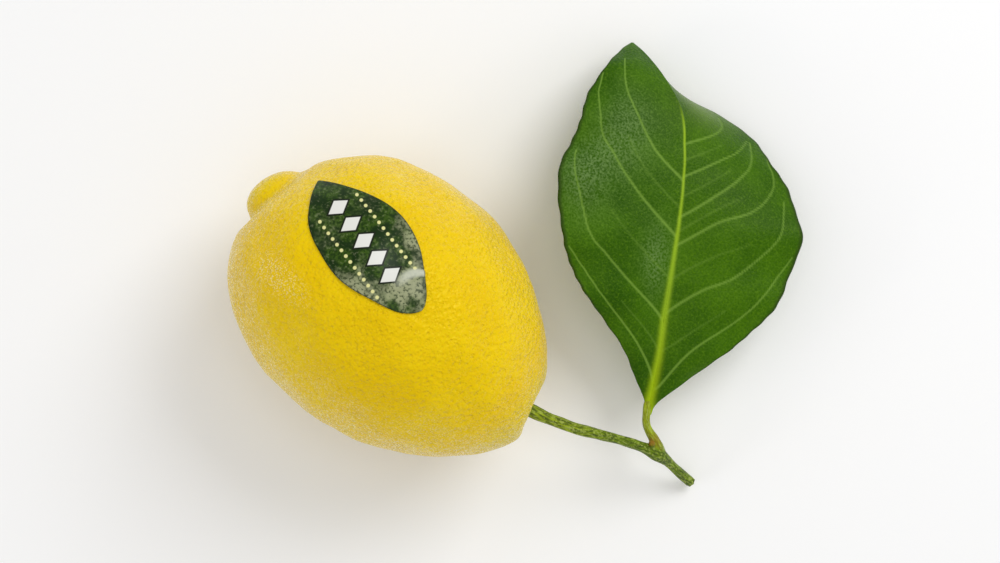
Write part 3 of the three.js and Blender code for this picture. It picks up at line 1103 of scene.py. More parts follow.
@dataclass
class Peel(Piece):
    """The rind of the whole fruit, with its oil pits and soft dents."""

    form: FruitForm
    finish: PeelFinish = PeelFinish()
    rings: int = 250
    sides: int = 384
    pit_spacing: float = 1.6
    pit_depth: float = 0.07
    pit_size: float = 0.7
    dent_spacing: float = 6.5
    dent_depth: float = 0.16
    roll_spacing: float = 15.0
    roll_depth: float = 0.22
    node: ClassVar[str] = "fruit"
    slot: ClassVar[Slot] = Slot.PEEL

    def build(self, groups: ShaderGroups) -> None:
        """Lay out the fruit's skin, roughen it and tie it to the frame."""
        material = self.finish.build(groups)
        piece = self.skin().to_object("peel", material)
        sizes = {
            "Pit Spacing": self.pit_spacing * MM,
            "Pit Depth": self.pit_depth * MM,
            "Pit Size": self.pit_size,
            "Dent Spacing": self.dent_spacing * MM,
            "Dent Depth": self.dent_depth * MM,
            "Roll Spacing": self.roll_spacing * MM,
            "Roll Depth": self.roll_depth * MM,
        }
        run_tree(piece, self.relief_tree(list(sizes)), {**sizes, "Material": material})
        self.settle(piece)

    def skin(self) -> Shell:
        """Close rings of points over the plain form."""
        stem, blossom = self.form.stem_end.reach, self.form.blossom_end.reach
        angles = (math.pi * np.arange(1, self.rings) / self.rings)[:, None]
        x = np.where(angles < math.pi / 2, stem, blossom) * np.cos(angles)
        x, turns = np.broadcast_arrays(x, around(self.sides))
        first, last = (self.form.point(np.array(end), np.array(0.0)) for end in (stem, -blossom))
        return Shell.from_rings(first, self.form.point(x, turns), last)

    @staticmethod
    def relief_tree(sizes: list[str]) -> Tree:
        """Build the tree that sinks pits and dents into the skin and flattens the resting spot.

        Args:
            sizes: The names of the number inputs.

        Returns:
            The tree.
        """
        graph, given, end = geometry_tree("Peel Relief", {name: "Float" for name in sizes})
        place = graph.add("GeometryNodeInputPosition").outputs[0]
        normal = graph.add("GeometryNodeInputNormal").outputs[0]
        scale = graph.math("DIVIDE", 1.0, given["Pit Spacing"])
        cells = graph.add("ShaderNodeTexVoronoi", {"Vector": place, "Scale": scale})
        pit = graph.span(cells.outputs["Distance"], given["Pit Size"], 0.0)
        sunk = graph.times(pit, given["Pit Depth"])
        for name in ("Dent", "Roll"):
            scale = graph.math("DIVIDE", 1.0, given[name + " Spacing"])
            low = graph.span(graph.noise(place, scale, 1.0), 0.7, 0.3)
            sunk = graph.math("ADD", sunk, graph.times(low, given[name + " Depth"]))
        pitted = graph.mark(given["Geometry"], "pit", pit)
        inward = {0: normal, "Scale": graph.times(sunk, -1.0)}
        offset = graph.add("ShaderNodeVectorMath", inward, operation="SCALE").outputs[0]
        moved = graph.add("GeometryNodeSetPosition", {"Geometry": pitted, "Offset": offset}).outputs[0]
        floor = (-1.0, -1.0, 0.0)
        resting = graph.vector("MAXIMUM", place, floor)
        flat = graph.add("GeometryNodeSetPosition", {"Geometry": moved, "Position": resting}).outputs[0]
        return graph.close(flat, given["Material"], end)


@dataclass
class Calyx(Piece):
    """The small dry star in the stem's hollow: a disc with blunt lobes round it."""

    form: FruitForm
    finish: StemFinish = StemFinish(
        roughness=0.65,
        start_colour=(0.26, 0.28, 0.06),
        end_colour=(0.24, 0.2, 0.07),
        streak=(0.12, 0.08, 0.02),
    )
    lobes: int = 5
    lobe_length: float = 3.3
    lobe_width: float = 1.5
    lobe_thick: float = 0.5
    lobe_shift: float = 1.1
    lobe_point: float = 0.45
    size_range: Pair = (0.88, 1.12)
    seed: int = 4
    disc_radius: float = 2.4
    disc_thick: float = 0.8
    clear: float = 0.35
    rings: int = 18
    sides: int = 28
    node: ClassVar[str] = "calyx"
    slot: ClassVar[Slot] = Slot.CALYX

    def build(self, groups: ShaderGroups) -> None:
        """Make one lobe, turn copies of it round the disc and lay the star in the hollow."""
        material = self.finish.build(groups, "calyx_skin")
        piece = self.lobe().to_object("calyx_star", material)
        disc = self.disc().to_object("calyx_disc", material)
        smallest, largest = self.size_range
        sizes = {"Lobes": self.lobes, "Smallest": smallest, "Largest": largest, "Seed": self.seed}
        run_tree(piece, self.star_tree(), {**sizes, "Disc": disc, "Material": material})
        bpy.data.objects.remove(disc)
        self.lay(piece)
        self.settle(piece)

    def pad(self, length: float, width: float, thick: float, shift: float = 0.0, point: float = 0.0) -> Shell:
        """A flat rounded pad in the plane across the fruit, with its thickness along X.

        Args:
            length: Half its length along Z.
            width: Half its width along Y.
            thick: Half its thickness.
            shift: How far its middle lies from the star's.
            point: How pointed its far end is.

        Returns:
            The closed pad.
        """
        angle = math.pi * np.arange(1, self.rings)[:, None] / self.rings
        turn = around(self.sides)
        share = -np.cos(angle)
        along = shift + length * share
        aside = width * np.sin(angle) * (1 - point * rise(share, 0, 1)) * np.sin(turn)
        off = thick * np.sin(angle) * np.cos(turn)
        points = np.stack(np.broadcast_arrays(off, aside, along), axis=-1)
        first, last = (np.array([0, 0, end]) for end in (shift - length, shift + length))
        values = {"run": along, "turn": turn, "share": rise(share, -0.5, 1)}
        return Shell.from_rings(first, points, last, values)

    def lobe(self) -> Shell:
        """One blunt lobe."""
        half = self.lobe_length / 2
        return self.pad(half, self.lobe_width, self.lobe_thick / 2, half * self.lobe_shift, self.lobe_point)

    def disc(self) -> Shell:
        """The disc under the lobes."""
        return self.pad(self.disc_radius, self.disc_radius, self.disc_thick / 2)

    @staticmethod
    def star_tree() -> Tree:
        """Build the tree that turns copies of the lobe round the disc."""
        inputs = {"Lobes": "Int", "Smallest": "Float", "Largest": "Float", "Seed": "Int", "Disc": "Object"}
        graph, given, end = geometry_tree("Calyx Star", inputs)
        points = graph.add("GeometryNodePoints", {"Count": given["Lobes"]}).outputs[0]
        index = graph.add("GeometryNodeInputIndex").outputs[0]
        turn = graph.times(graph.math("DIVIDE", index, given["Lobes"]), FULL_TURN)
        rotation = graph.add("ShaderNodeCombineXYZ", {"X": turn}).outputs[0]
        sizes = {2: given["Smallest"], 3: given["Largest"], "Seed": given["Seed"]}
        size = graph.add("FunctionNodeRandomValue", sizes, data_type="FLOAT").outputs[1]
        lobes = {"Points": points, "Instance": given["Geometry"], "Rotation": rotation, "Scale": size}
        copies = graph.add("GeometryNodeInstanceOnPoints", lobes).outputs[0]
        disc = graph.add("GeometryNodeObjectInfo", {"Object": given["Disc"]}).outputs["Geometry"]
        return graph.close(graph.join(copies, disc), given["Material"], end)

    def lay(self, piece: bpy.types.Object) -> None:
        """Bend the flat star so that it follows the hollow's floor."""
        mesh = piece.data
        points = np.empty(len(mesh.vertices) * 3, np.float32)
        mesh.vertices.foreach_get("co", points)
        points = points.reshape(-1, 3).astype(float) / MM
        y = points[:, 1] + self.form.hollow_side
        z = points[:, 2] + self.form.centre_height
        x = points[:, 0] + self.form.stem_end_x(y, z) + self.clear + self.disc_thick / 2
        mesh.vertices.foreach_set("co", (np.stack([x, y, z], axis=-1) * MM).astype(np.float32).ravel())
        mesh.update()


@dataclass(frozen=True)
class Bud:
    """The small pointed bud, whose scales lap over each other round it."""

    place: Point = (71, 13.7, 17)
    length: float = 2.3
    radius: float = 0.8
    turn: float = 50.0
    laps: float = 2.5
    bluntness: float = 0.8
    roundness: float = 0.75
    waist: float = 0.94
    scale_lip: float = 0.13
    brown: Pair = (0.55, 0.45)
    brown_from: Pair = (0.1, 0.4)
    rings: int = 40
    sides: int = 36

    def skin(self, stem_share: float) -> Shell:
        """Close the bud's skin.

        Args:
            stem_share: The share of the twig's length at which it grows, for its colour.

        Returns:
            The closed skin.
        """
        share, turn = steps_between(self.rings), around(self.sides)
        lap = np.mod(self.laps * share + turn / FULL_TURN, 1.0)
        plain = self.radius * np.sin(math.pi * share**self.bluntness) ** self.roundness
        radius = plain * (self.waist + self.scale_lip * (1 - lap))
        along = self.length * (share - 0.5)
        swing = math.radians(self.turn)
        ahead = np.array([-math.sin(swing), math.cos(swing), 0])
        aside = np.array([math.cos(swing), math.sin(swing), 0])
        out = np.cos(turn)[..., None] * aside + np.sin(turn)[..., None] * np.array([0, 0, 1])
        points = np.array(self.place) + along[..., None] * ahead + radius[..., None] * out
        plain_brown, lap_brown = self.brown
        values = {
            "bud": (plain_brown + lap_brown * lap) * rise(share, *self.brown_from),
            "run": along,
            "turn": turn,
            "share": np.full_like(along, stem_share),
        }
        first, last = (np.array(self.place) + ahead * end * self.length / 2 for end in (-1, 1))
        return Shell.from_rings(first, points, last, values)


@dataclass
class Twig(Piece):
    """The cut twig, with a swollen node, a bud, corky specks and a clean cut end."""

    finish: StemFinish = StemFinish()
    bud: Bud = Bud()
    root_radius: float = 1.6
    neck_radius: float = 1.4
    middle_radius: float = 1.18
    past_radius: float = 1.15
    cut_radius: float = 1.28
    neck_share: float = 0.12
    middle_share: float = 0.5
    node_share: float = 0.7
    past_share: float = 0.8
    flare_share: float = 0.9
    node_swell: float = 0.8
    node_width: float = 0.06
    sink: float = 0.8
    groove_depth: float = 0.08
    groove_count: int = 7
    groove_slant: float = 0.12
    groove_sway: float = 0.8
    groove_sway_pitch: float = 0.35
    knot_height: float = 0.5
    knot_pitch: float = 0.9
    knot_sway: float = 2.0
    long_knot_pitch: float = 0.37
    long_knot_start: float = 1.7
    cap_spread: tuple[float, ...] = (0.985, 0.93, 0.8, 0.6, 0.4, 0.2)
    cap_heights: tuple[float, ...] = (0.03, 0.05, 0.04, 0.02, 0.0, -0.02)
    cap_hollow: float = 0.05
    cut_fade: float = 1.13
    rings: int = 260
    sides: int = 64
    speck_density: float = 0.45
    speck_size: float = 0.16
    speck_least: Point = (0.6, 1.0, 0.3)
    speck_most: Point = (1.0, 2.0, 0.45)
    speck_paleness: float = 0.7
    seed: int = 7
    path: tuple[Point, ...] = (
        (41.7, 1.6, 32), (45.8, 2.6, 31.2), (49.4, 3.7, 29.6), (53.6, 5, 27.3), (59.3, 7.5, 23.8),
        (65.1, 9.9, 20), (69.75, 11.5, 16.8), (73, 12.35, 14.2), (76.7, 12.55, 11), (81.3, 12.15, 6.5),
        (85.8, 12, 2),
    )
    node: ClassVar[str] = "twig"
    slot: ClassVar[Slot] = Slot.TWIG

    def build(self, groups: ShaderGroups) -> None:
        """Sweep the bark, add the bud, scatter the specks and tie the twig to the frame."""
        material = self.finish.build(groups, "twig_bark")
        piece = self.bark().join(self.bud.skin(self.node_share)).to_object("twig_bark", material)
        sizes = {
            "Speck Density": self.speck_density / MM**2,
            "Speck Size": self.speck_size * MM,
            "Seed": self.seed,
        }
        run_tree(piece, self.speck_tree(), {**sizes, "Material": material})
        self.settle(piece)

    def radius(self, share: Array) -> Array:
        """Radius of the plain twig at a share of its length."""
        neck = lerp(self.root_radius, self.neck_radius, rise(share, 0, self.neck_share))
        middle = lerp(neck, self.middle_radius, rise(share, self.neck_share, self.middle_share))
        past = lerp(middle, self.past_radius, rise(share, self.node_share, self.past_share))
        cut = lerp(past, self.cut_radius, rise(share, self.flare_share, 1))
        return cut + self.node_swell * hump(share - self.node_share, self.node_width)

    def bark(self) -> Shell:
        """Sweep the grooved bark and close it with the cut face."""
        tube = Tube(self.path, self.rings, self.sides)
        run, turns = tube.run, tube.turns
        sway = self.groove_sway * np.sin(self.groove_sway_pitch * run)
        groove = np.cos(self.groove_count * turns + self.groove_slant * run + sway)
        knots = np.sin(self.knot_pitch * run + self.knot_sway * np.sin(turns))
        knots = self.knot_height * (knots + np.sin(self.long_knot_pitch * run + self.long_knot_start))
        radius = self.radius(tube.shares)[:, None] + self.groove_depth * (groove + knots)
        inward = -self.sink * rise(self.neck_share / 2 - tube.shares, 0, self.neck_share / 2)
        rings = tube.rings(radius) + (inward[:, None] * tube.ahead)[:, None]
        end, onward = tube.curve.at(1.0), tube.ahead[-1]
        cap = np.stack([lerp(end, rings[-1], share) for share in self.cap_spread])
        cap = cap + onward * np.array(self.cap_heights)[:, None, None]
        cap_ones = np.ones((len(self.cap_spread), 1))
        values = {
            "run": np.vstack([run, tube.curve.length * cap_ones]),
            "turn": turns,
            "share": np.vstack([tube.shares[:, None], cap_ones]),
            "cut": np.vstack([np.zeros_like(run), self.cut_fade - np.array(self.cap_spread)[:, None]]),
        }
        first = tube.curve.at(0.0) - tube.ahead[0] * self.sink
        return Shell.from_rings(first, np.concatenate([rings, cap]), end - onward * self.cap_hollow, values)

    def speck_tree(self) -> Tree:
        """Build the tree that scatters small corky specks over the bark."""
        inputs = {"Speck Density": "Float", "Speck Size": "Float", "Seed": "Int"}
        graph, given, end = geometry_tree("Bark Specks", inputs)
        cut = graph.add("GeometryNodeInputNamedAttribute", {"Name": "cut"}, data_type="FLOAT")
        uncut = {0: cut.outputs["Attribute"], 1: 0.01}
        bark = graph.add("FunctionNodeCompare", uncut, data_type="FLOAT", operation="LESS_THAN")
        spread = {
            "Mesh": given["Geometry"],
            "Selection": bark.outputs[0],
            "Density": given["Speck Density"],
            "Seed": given["Seed"],
        }
        scatter = graph.add("GeometryNodeDistributePointsOnFaces", spread).outputs
        ball = {"Radius": given["Speck Size"], "Subdivisions": 1}
        speck = graph.add("GeometryNodeMeshIcoSphere", ball).outputs[0]
        speck = graph.mark(speck, "cork", self.speck_paleness)
        sizes = {0: self.speck_least, 1: self.speck_most}
        size = graph.add("FunctionNodeRandomValue", sizes, data_type="FLOAT_VECTOR").outputs[0]
        specks = {
            "Points": scatter["Points"],
            "Instance": speck,
            "Rotation": scatter["Rotation"],
            "Scale": size,
        }
        copies = graph.add("GeometryNodeInstanceOnPoints", specks).outputs[0]
        return graph.close(graph.join(given["Geometry"], copies), given["Material"], end)


@dataclass
class LeafStalk(Piece):
    """The short stalk between the twig's node and the leaf."""

    finish: StemFinish = StemFinish(
        start_colour=(0.16, 0.27, 0.004),
        end_colour=(0.34, 0.44, 0.008),
        streak=(0.16, 0.17, 0.004),
    )
    widths: tuple[Pair, ...] = (
        (0, 0.6), (0.13, 1.2), (0.26, 1.5), (0.36, 1.3), (0.47, 1.08), (0.58, 0.95), (0.7, 0.95),
        (0.82, 0.98), (1, 0.3),
    )
    groove_depth: float = 0.1
    groove_width: float = 0.5
    groove_range: Pair = (0.35, 0.5)
    ridge_height: float = 0.03
    ridge_count: int = 6
    ridge_slant: float = 4.0
    joint_at: float = 0.38
    joint_width: float = 0.07
    joint_brown: float = 0.4
    rings: int = 130
    sides: int = 40
    path: tuple[Point, ...] = (
        (76.5, 13, 11.2), (74.6, 13.3, 12.7), (72.6, 13.9, 14.6), (70.6, 14.9, 15.8), (68.9, 15.5, 16.3),
        (67.5, 16.2, 16.5), (66.4, 17.2, 16.5), (65.5, 18.5, 16.4), (64.2, 20.5, 16), (62.9, 23.1, 15.9),
    )
    node: ClassVar[str] = "leaf_stalk"
    slot: ClassVar[Slot] = Slot.LEAF_STALK

    def build(self, groups: ShaderGroups) -> None:
        """Sweep the stalk and tie it to the frame."""
        material = self.finish.build(groups, "leaf_stalk_skin")
        self.settle(self.skin().to_object("leaf_stalk_skin", material))

    def skin(self) -> Shell:
        """Sweep the stalk, from inside the twig over the node and thinning into the leaf's midrib."""
        tube = Tube(self.path, self.rings, self.sides)
        shares, turns = tube.shares[:, None], tube.turns
        widths = SmoothCurve(self.widths).line
        plain = np.interp(shares, widths[:, 0], widths[:, 1])
        on_top = self.groove_depth * hump(turns - math.pi / 2, self.groove_width)
        ridges = self.ridge_height * np.cos(self.ridge_count * turns + self.ridge_slant * shares)
        radius = plain * (1 + ridges) - on_top * rise(shares, *self.groove_range)
        joint = self.joint_brown * hump(shares - self.joint_at, self.joint_width)
        values = {"run": tube.run, "turn": turns, "share": shares, "bud": joint}
        return Shell.from_rings(tube.curve.at(0.0), tube.rings(radius), tube.curve.at(1.0), values)


@dataclass(frozen=True)
class Vein:
    """A side vein: its half of the leaf, and its points as shares along the leaf and out to the margin."""

    side: Side
    points: tuple[Pair, ...]
    width: float = 0.45


@dataclass(frozen=True)
class Patch:
    """A soft round patch on the leaf: its middle and its half size, in shares along and across."""

    middle: Pair
    size: Pair

    def mask(self, shares: Array, across: Array) -> Array:
        """Say how strong the patch is, from 0 to 1."""
        along = (shares - self.middle[0]) / self.size[0]
        return hump(np.hypot(along, (across - self.middle[1]) / self.size[1]), 1.0)


@dataclass
class LeafBlade(Piece):
    """The leaf, with its midrib, looping side veins, waved margins and fine teeth."""

    finish: LeafFinish = LeafFinish()
    place: Point = (64.1, 20.6, 15.8)
    turn: float = 38.75
    thick: float = 0.42
    rim_from: float = 0.985
    camber: float = 1.3
    wave: float = 0.55
    waves: int = 7
    full_width: float = 10.0
    grow: float = 0.3
    tooth: float = 0.11
    teeth: int = 22
    tooth_sway: float = 2.0
    tooth_sway_count: int = 3
    broad_tooth_height: float = 0.8
    broad_tooth_count: float = 0.4
    tooth_sharpness: float = 6.0
    quilt_height: float = 0.16
    quilt_width: float = 3.5
    vein_depth: float = 0.08
    vein_depth_below: float = 0.128
    vein_groove: float = 0.5
    vein_edge: Pair = (0.3, 1.2)
    vein_taper: float = 0.5
    vein_steps: int = 500
    faint_knots: int = 6
    faint_width: float = 0.4
    faint_reach: float = 0.6
    faint_strength: float = 0.35
    midrib_rise: float = 0.2
    midrib_drop: float = 1.0
    midrib_taper: float = 0.75
    midrib_widths: Pair = (1.5, 0.5)
    midrib_range: Pair = (0.0, 0.75)
    stripe_widths: Pair = (1.45, 0.3)
    stripe_range: Pair = (-0.05, 0.7)
    stripe_edge: float = 2.5
    stripe_end: Pair = (0.7, 0.8)
    base_range: Pair = (0.02, 0.35)
    # Where the painted shade along the margins comes in.
    margin_range: Pair = (0.955, 0.99)
    # Where the painted light of the pale patch lies.
    pale: Patch = Patch((0.79, 0.6), (0.07, 0.5))
    gleams: tuple[Patch, ...] = (
        Patch((0.7, -0.55), (0.1, 0.24)),
        Patch((0.4, -0.18), (0.08, 0.13)),
        Patch((0.6, -0.8), (0.08, 0.18)),
    )
    rows: int = 270
    half_columns: int = 90
    column_gather: float = 0.45
    midrib_line: tuple[Point, ...] = (
        (0.25, -3.2, -0.3), (0.35, -1, -0.1), (0.7, 1.4, 0.3), (1.4, 5, 1), (2.4, 10.5, 2.2),
        (3.8, 21.3, 4.3), (5.8, 34.3, 6), (7.7, 47.3, 6.5), (8.8, 61.3, 5.3), (8, 72.3, 3), (3.7, 81, -0.5),
        (-0.7, 87, -4.6), (-3.6, 89.8, -7),
    )
    left_margin: tuple[Point, ...] = (
        (0.25, -3.2, -0.3), (-0.35, -1.6, -0.2), (-0.5, -0.2, 0), (-0.8, 1.4, 0.4), (-1.6, 3.3, 1.1),
        (-2.8, 6.2, 2), (-6.6, 14.9, 5), (-12.85, 23.7, 8), (-18.3, 32.5, 10.5), (-20.9, 41.4, 11.5),
        (-21.9, 50.1, 11), (-21.7, 58.5, 10), (-18.9, 64, 9), (-16.4, 70.3, 8), (-14.45, 76.7, 6),
        (-10.4, 82.8, 2.5), (-6, 88, -4), (-3.6, 89.8, -7),
    )
    right_margin: tuple[Point, ...] = (
        (0.25, -3.2, -0.3), (0.95, -2.3, -0.2), (1.4, -1, 0), (2.5, 0.4, 0.4), (4.1, 1.7, 0.7), (6.2, 3.3, 1),
        (10, 6.2, 1.5), (21.9, 14.8, 2), (30.9, 23.4, 2), (35.2, 32.4, 1.5), (38, 41.5, 1), (36.5, 47.5, 0),
        (34.5, 53.6, -2), (30.65, 59.8, -4.5), (26.5, 65.9, -7.5), (17.8, 72.2, -10.5), (8.2, 77.3, -12),
        (1.6, 82.6, -12.4), (-2.2, 87.2, -10.8), (-3.6, 89.8, -7),
    )
    veins: tuple[Vein, ...] = (
        Vein(Side.LEFT, ((0.08, 0), (0.11, 0.22), (0.19, 0.6), (0.29, 0.79), (0.38, 0.88), (0.44, 0.96))),
        Vein(Side.LEFT, ((0.24, 0), (0.33, 0.4), (0.42, 0.65), (0.47, 0.77), (0.56, 0.83), (0.66, 0.92))),
        Vein(Side.LEFT, ((0.45, 0), (0.54, 0.3), (0.65, 0.59), (0.71, 0.77), (0.79, 0.87), (0.86, 0.96))),
        Vein(Side.LEFT, ((0.59, 0), (0.67, 0.27), (0.75, 0.45), (0.83, 0.59), (0.92, 0.71))),
        Vein(Side.RIGHT, ((0.065, 0), (0.09, 0.32), (0.18, 0.51), (0.26, 0.73), (0.34, 0.85), (0.42, 0.96))),
        Vein(Side.RIGHT, ((0.26, 0), (0.33, 0.3), (0.365, 0.53), (0.41, 0.69), (0.46, 0.82), (0.53, 0.92))),
        Vein(Side.RIGHT, ((0.43, 0), (0.485, 0.31), (0.51, 0.62), (0.54, 0.79), (0.58, 0.91), (0.63, 0.98))),
        Vein(Side.RIGHT, ((0.5, 0), (0.545, 0.29), (0.585, 0.57), (0.62, 0.77), (0.67, 0.9))),
        Vein(Side.RIGHT, ((0.6, 0), (0.63, 0.4), (0.65, 0.68), (0.675, 0.88)), 0.38),
        Vein(Side.RIGHT, ((0.68, 0), (0.7, 0.5), (0.72, 0.71), (0.75, 0.85)), 0.38),
    )
    node: ClassVar[str] = "leaf_blade"
    slot: ClassVar[Slot] = Slot.LEAF

    def __post_init__(self) -> None:
        """Lay out the three lines that carry the blade."""
        lines = (self.midrib_line, self.left_margin, self.right_margin)
        self._midrib, self._left, self._right = (SmoothCurve(line) for line in lines)

    def build(self, groups: ShaderGroups) -> None:
        """Shape both faces of the blade and tie it to the frame."""
        self.settle(self.skin().to_object("leaf_blade_skin", self.finish.build(groups)))

    def surface(self, share: Array, across: Array) -> Array:
        """Find points of the plain blade.

        Args:
            share: Shares of the length, from the stalk to the tip.
            across: From -1 at the left margin over 0 at the midrib to 1 at the right margin.

        Returns:
            The points in the leaf's own lengthwise frame.
        """
        side = np.abs(across)
        inner = self._midrib.at(share)
        left, right = self._left.at(share), self._right.at(share)
        outward = np.where((across < 0)[..., None], left, right) - inner
        full = np.minimum(np.linalg.norm(outward, axis=-1) / self.full_width, 1)
        lengthwise = FULL_TURN * share
        sway = self.tooth_sway * np.sin(self.tooth_sway_count * lengthwise + np.sign(across))
        fine = np.cos(self.teeth * lengthwise + sway)
        broad = self.broad_tooth_height * np.cos(self.broad_tooth_count * self.teeth * lengthwise + 1.0)
        reach = (self.grow + self.tooth * (fine + broad)) * side**self.tooth_sharpness * full
        point = inner + outward * side[..., None] + unit(outward) * reach[..., None]
        wave = self.wave * np.sin(self.waves * lengthwise) * side**2
        point[..., 2] += full * (self.camber * 4 * side * (1 - side) + wave)
        return point

    def vein_routes(self) -> tuple[Array, Array]:
        """Lay out the side veins, and a fainter one between each two.

        Returns:
            The main veins and the faint ones, as rows of share along, share across and half width.
        """
        main, faint = [], []
        steps = np.linspace(0, 1, self.faint_knots)
        for half in Side:
            own = [vein for vein in self.veins if vein.side is half]
            curves = [SmoothCurve(vein.points) for vein in own]
            for vein, curve in zip(own, curves):
                main.append(self.vein_route(curve, half, vein.width, 1.0))
            for low, high in zip(curves, curves[1:]):
                between = SmoothCurve((low.at(steps) + high.at(steps)) / 2)
                faint.append(self.vein_route(between, half, self.faint_width, self.faint_reach))
        return np.vstack(main), np.vstack(faint)

    def vein_route(self, curve: SmoothCurve, half: Side, width: float, reach: float) -> Array:
        """Follow one vein from the midrib outward.

        Args:
            curve: The vein's line in shares along and across.
            half: Its half of the leaf.
            width: Its half width at the midrib.
            reach: The share of the line that it covers.

        Returns:
            Rows of share along, share across and half width.
        """
        steps = np.linspace(0, reach, self.vein_steps)
        line = curve.at(steps)
        widths = width * (1 - self.vein_taper * steps / reach)
        return np.stack([line[:, 0], line[:, 1] * half.value, widths], axis=-1)

    def vein_distance(self, points: Array, rows: Array) -> tuple[Array, Array]:
        """Measure how far points lie from the nearest vein.

        Args:
            points: Points of the plain blade.
            rows: The veins, as rows of share along, share across and half width.

        Returns:
            The distance in millimetres, and how strong the vein's mark is, from 0 to 1.
        """
        line = self.surface(rows[:, 0], rows[:, 1])
        tree = KDTree(len(line))
        for index, point in enumerate(line):
            tree.insert(Vector(point), index)
        tree.balance()
        found = [tree.find(Vector(point)) for point in points.reshape(-1, 3)]
        distance = np.array([hit[2] for hit in found]).reshape(points.shape[:-1])
        width = rows[[hit[1] for hit in found], 2].reshape(points.shape[:-1])
        return distance, 1 - rise(distance / width, *self.vein_edge)

    def columns(self) -> Array:
        """Spread the columns from margin to margin, closer at the midrib and at both margins."""
        share = np.linspace(0, 1, self.half_columns + 1)
        half = share - self.column_gather * np.sin(FULL_TURN * share) / FULL_TURN
        return np.concatenate([-half[:0:-1], half])[None, :]

    def normal(self, shares: Array, across: Array) -> Array:
        """Find the upward direction square to the plain blade."""
        step = 0.003
        onward = self.surface(np.minimum(shares + step, 1), across)
        ahead = onward - self.surface(np.maximum(shares - step, 0), across)
        aside = self.surface(shares, across + step) - self.surface(shares, across - step)
        return unit(np.cross(aside, ahead))

    def skin(self) -> Shell:
        """Close the upper and the lower face over the plain blade."""
        shares, across = np.broadcast_arrays(steps_between(self.rows), self.columns())
        plain = self.surface(shares, across)
        main, faint = self.vein_routes()
        distance, marks = self.vein_distance(plain, main)
        faint_marks = self.faint_strength * self.vein_distance(plain, faint)[1]
        off_midrib = np.linalg.norm(plain - self._midrib.at(shares), axis=-1)
        top, bottom = self.heights(shares, across, distance, off_midrib)
        normal = self.normal(shares, across)
        rings = both_faces(plain + normal * top[..., None], plain + normal * bottom[..., None])
        stripe_width = lerp(*self.stripe_widths, rise(shares, *self.stripe_range))
        stripe = np.exp(-((off_midrib / stripe_width) ** self.stripe_edge))
        painted = {
            "vein": np.maximum(marks, faint_marks),
            "midrib": stripe * (1 - rise(shares, *self.stripe_end)),
            "base": 1 - rise(shares, *self.base_range),
            "pale": self.pale.mask(shares, across),
            "gleam": sum(gleam.mask(shares, across) for gleam in self.gleams),
            "margin": rise(np.abs(across), *self.margin_range),
        }
        values = {name: both_faces(numbers, numbers) for name, numbers in painted.items()}
        values["underside"] = both_faces(np.zeros_like(across), np.ones_like(across))
        first, last = (self.surface(np.array(end), np.array(0.0)) for end in (0.0, 1.0))
        shell = Shell.from_rings(first, rings, last, values)
        shell.points = self.to_frame(shell.points)
        return shell

    def heights(
        self, shares: Array, across: Array, distance: Array, off_midrib: Array
    ) -> tuple[Array, Array]:
        """Work out how far both faces stand off the plain blade.

        Args:
            shares: Shares of the length.
            across: Places from margin to margin.
            distance: Millimetres from the nearest side vein.
            off_midrib: Millimetres from the midrib's line.

        Returns:
            The heights of the upper and the lower face, in millimetres.
        """
        side = np.abs(across)
        rim = np.sqrt(np.clip(1 - rise(side, self.rim_from, 1.0), 0, 1))
        quilt = self.quilt_height * rise(distance, 0, self.quilt_width) * (1 - side**4)
        groove = hump(distance, self.vein_groove)
        rib_width = lerp(*self.midrib_widths, rise(shares, *self.midrib_range))
        rib = hump(off_midrib, rib_width) * (1 - self.midrib_taper * shares)
        top = self.thick / 2 + quilt - self.vein_depth * groove + self.midrib_rise * rib
        bottom = -self.thick / 2 + quilt - self.vein_depth_below * groove - self.midrib_drop * rib
        return top * rim, bottom * rim

    def to_frame(self, points: Array) -> Array:
        """Turn the leaf to its place beside the fruit."""
        turn = math.radians(self.turn)
        cosine, sine = math.cos(turn), math.sin(turn)
        spin = np.array([[cosine, -sine, 0], [sine, cosine, 0], [0, 0, 1]])
        return points @ spin.T + np.array(self.place)


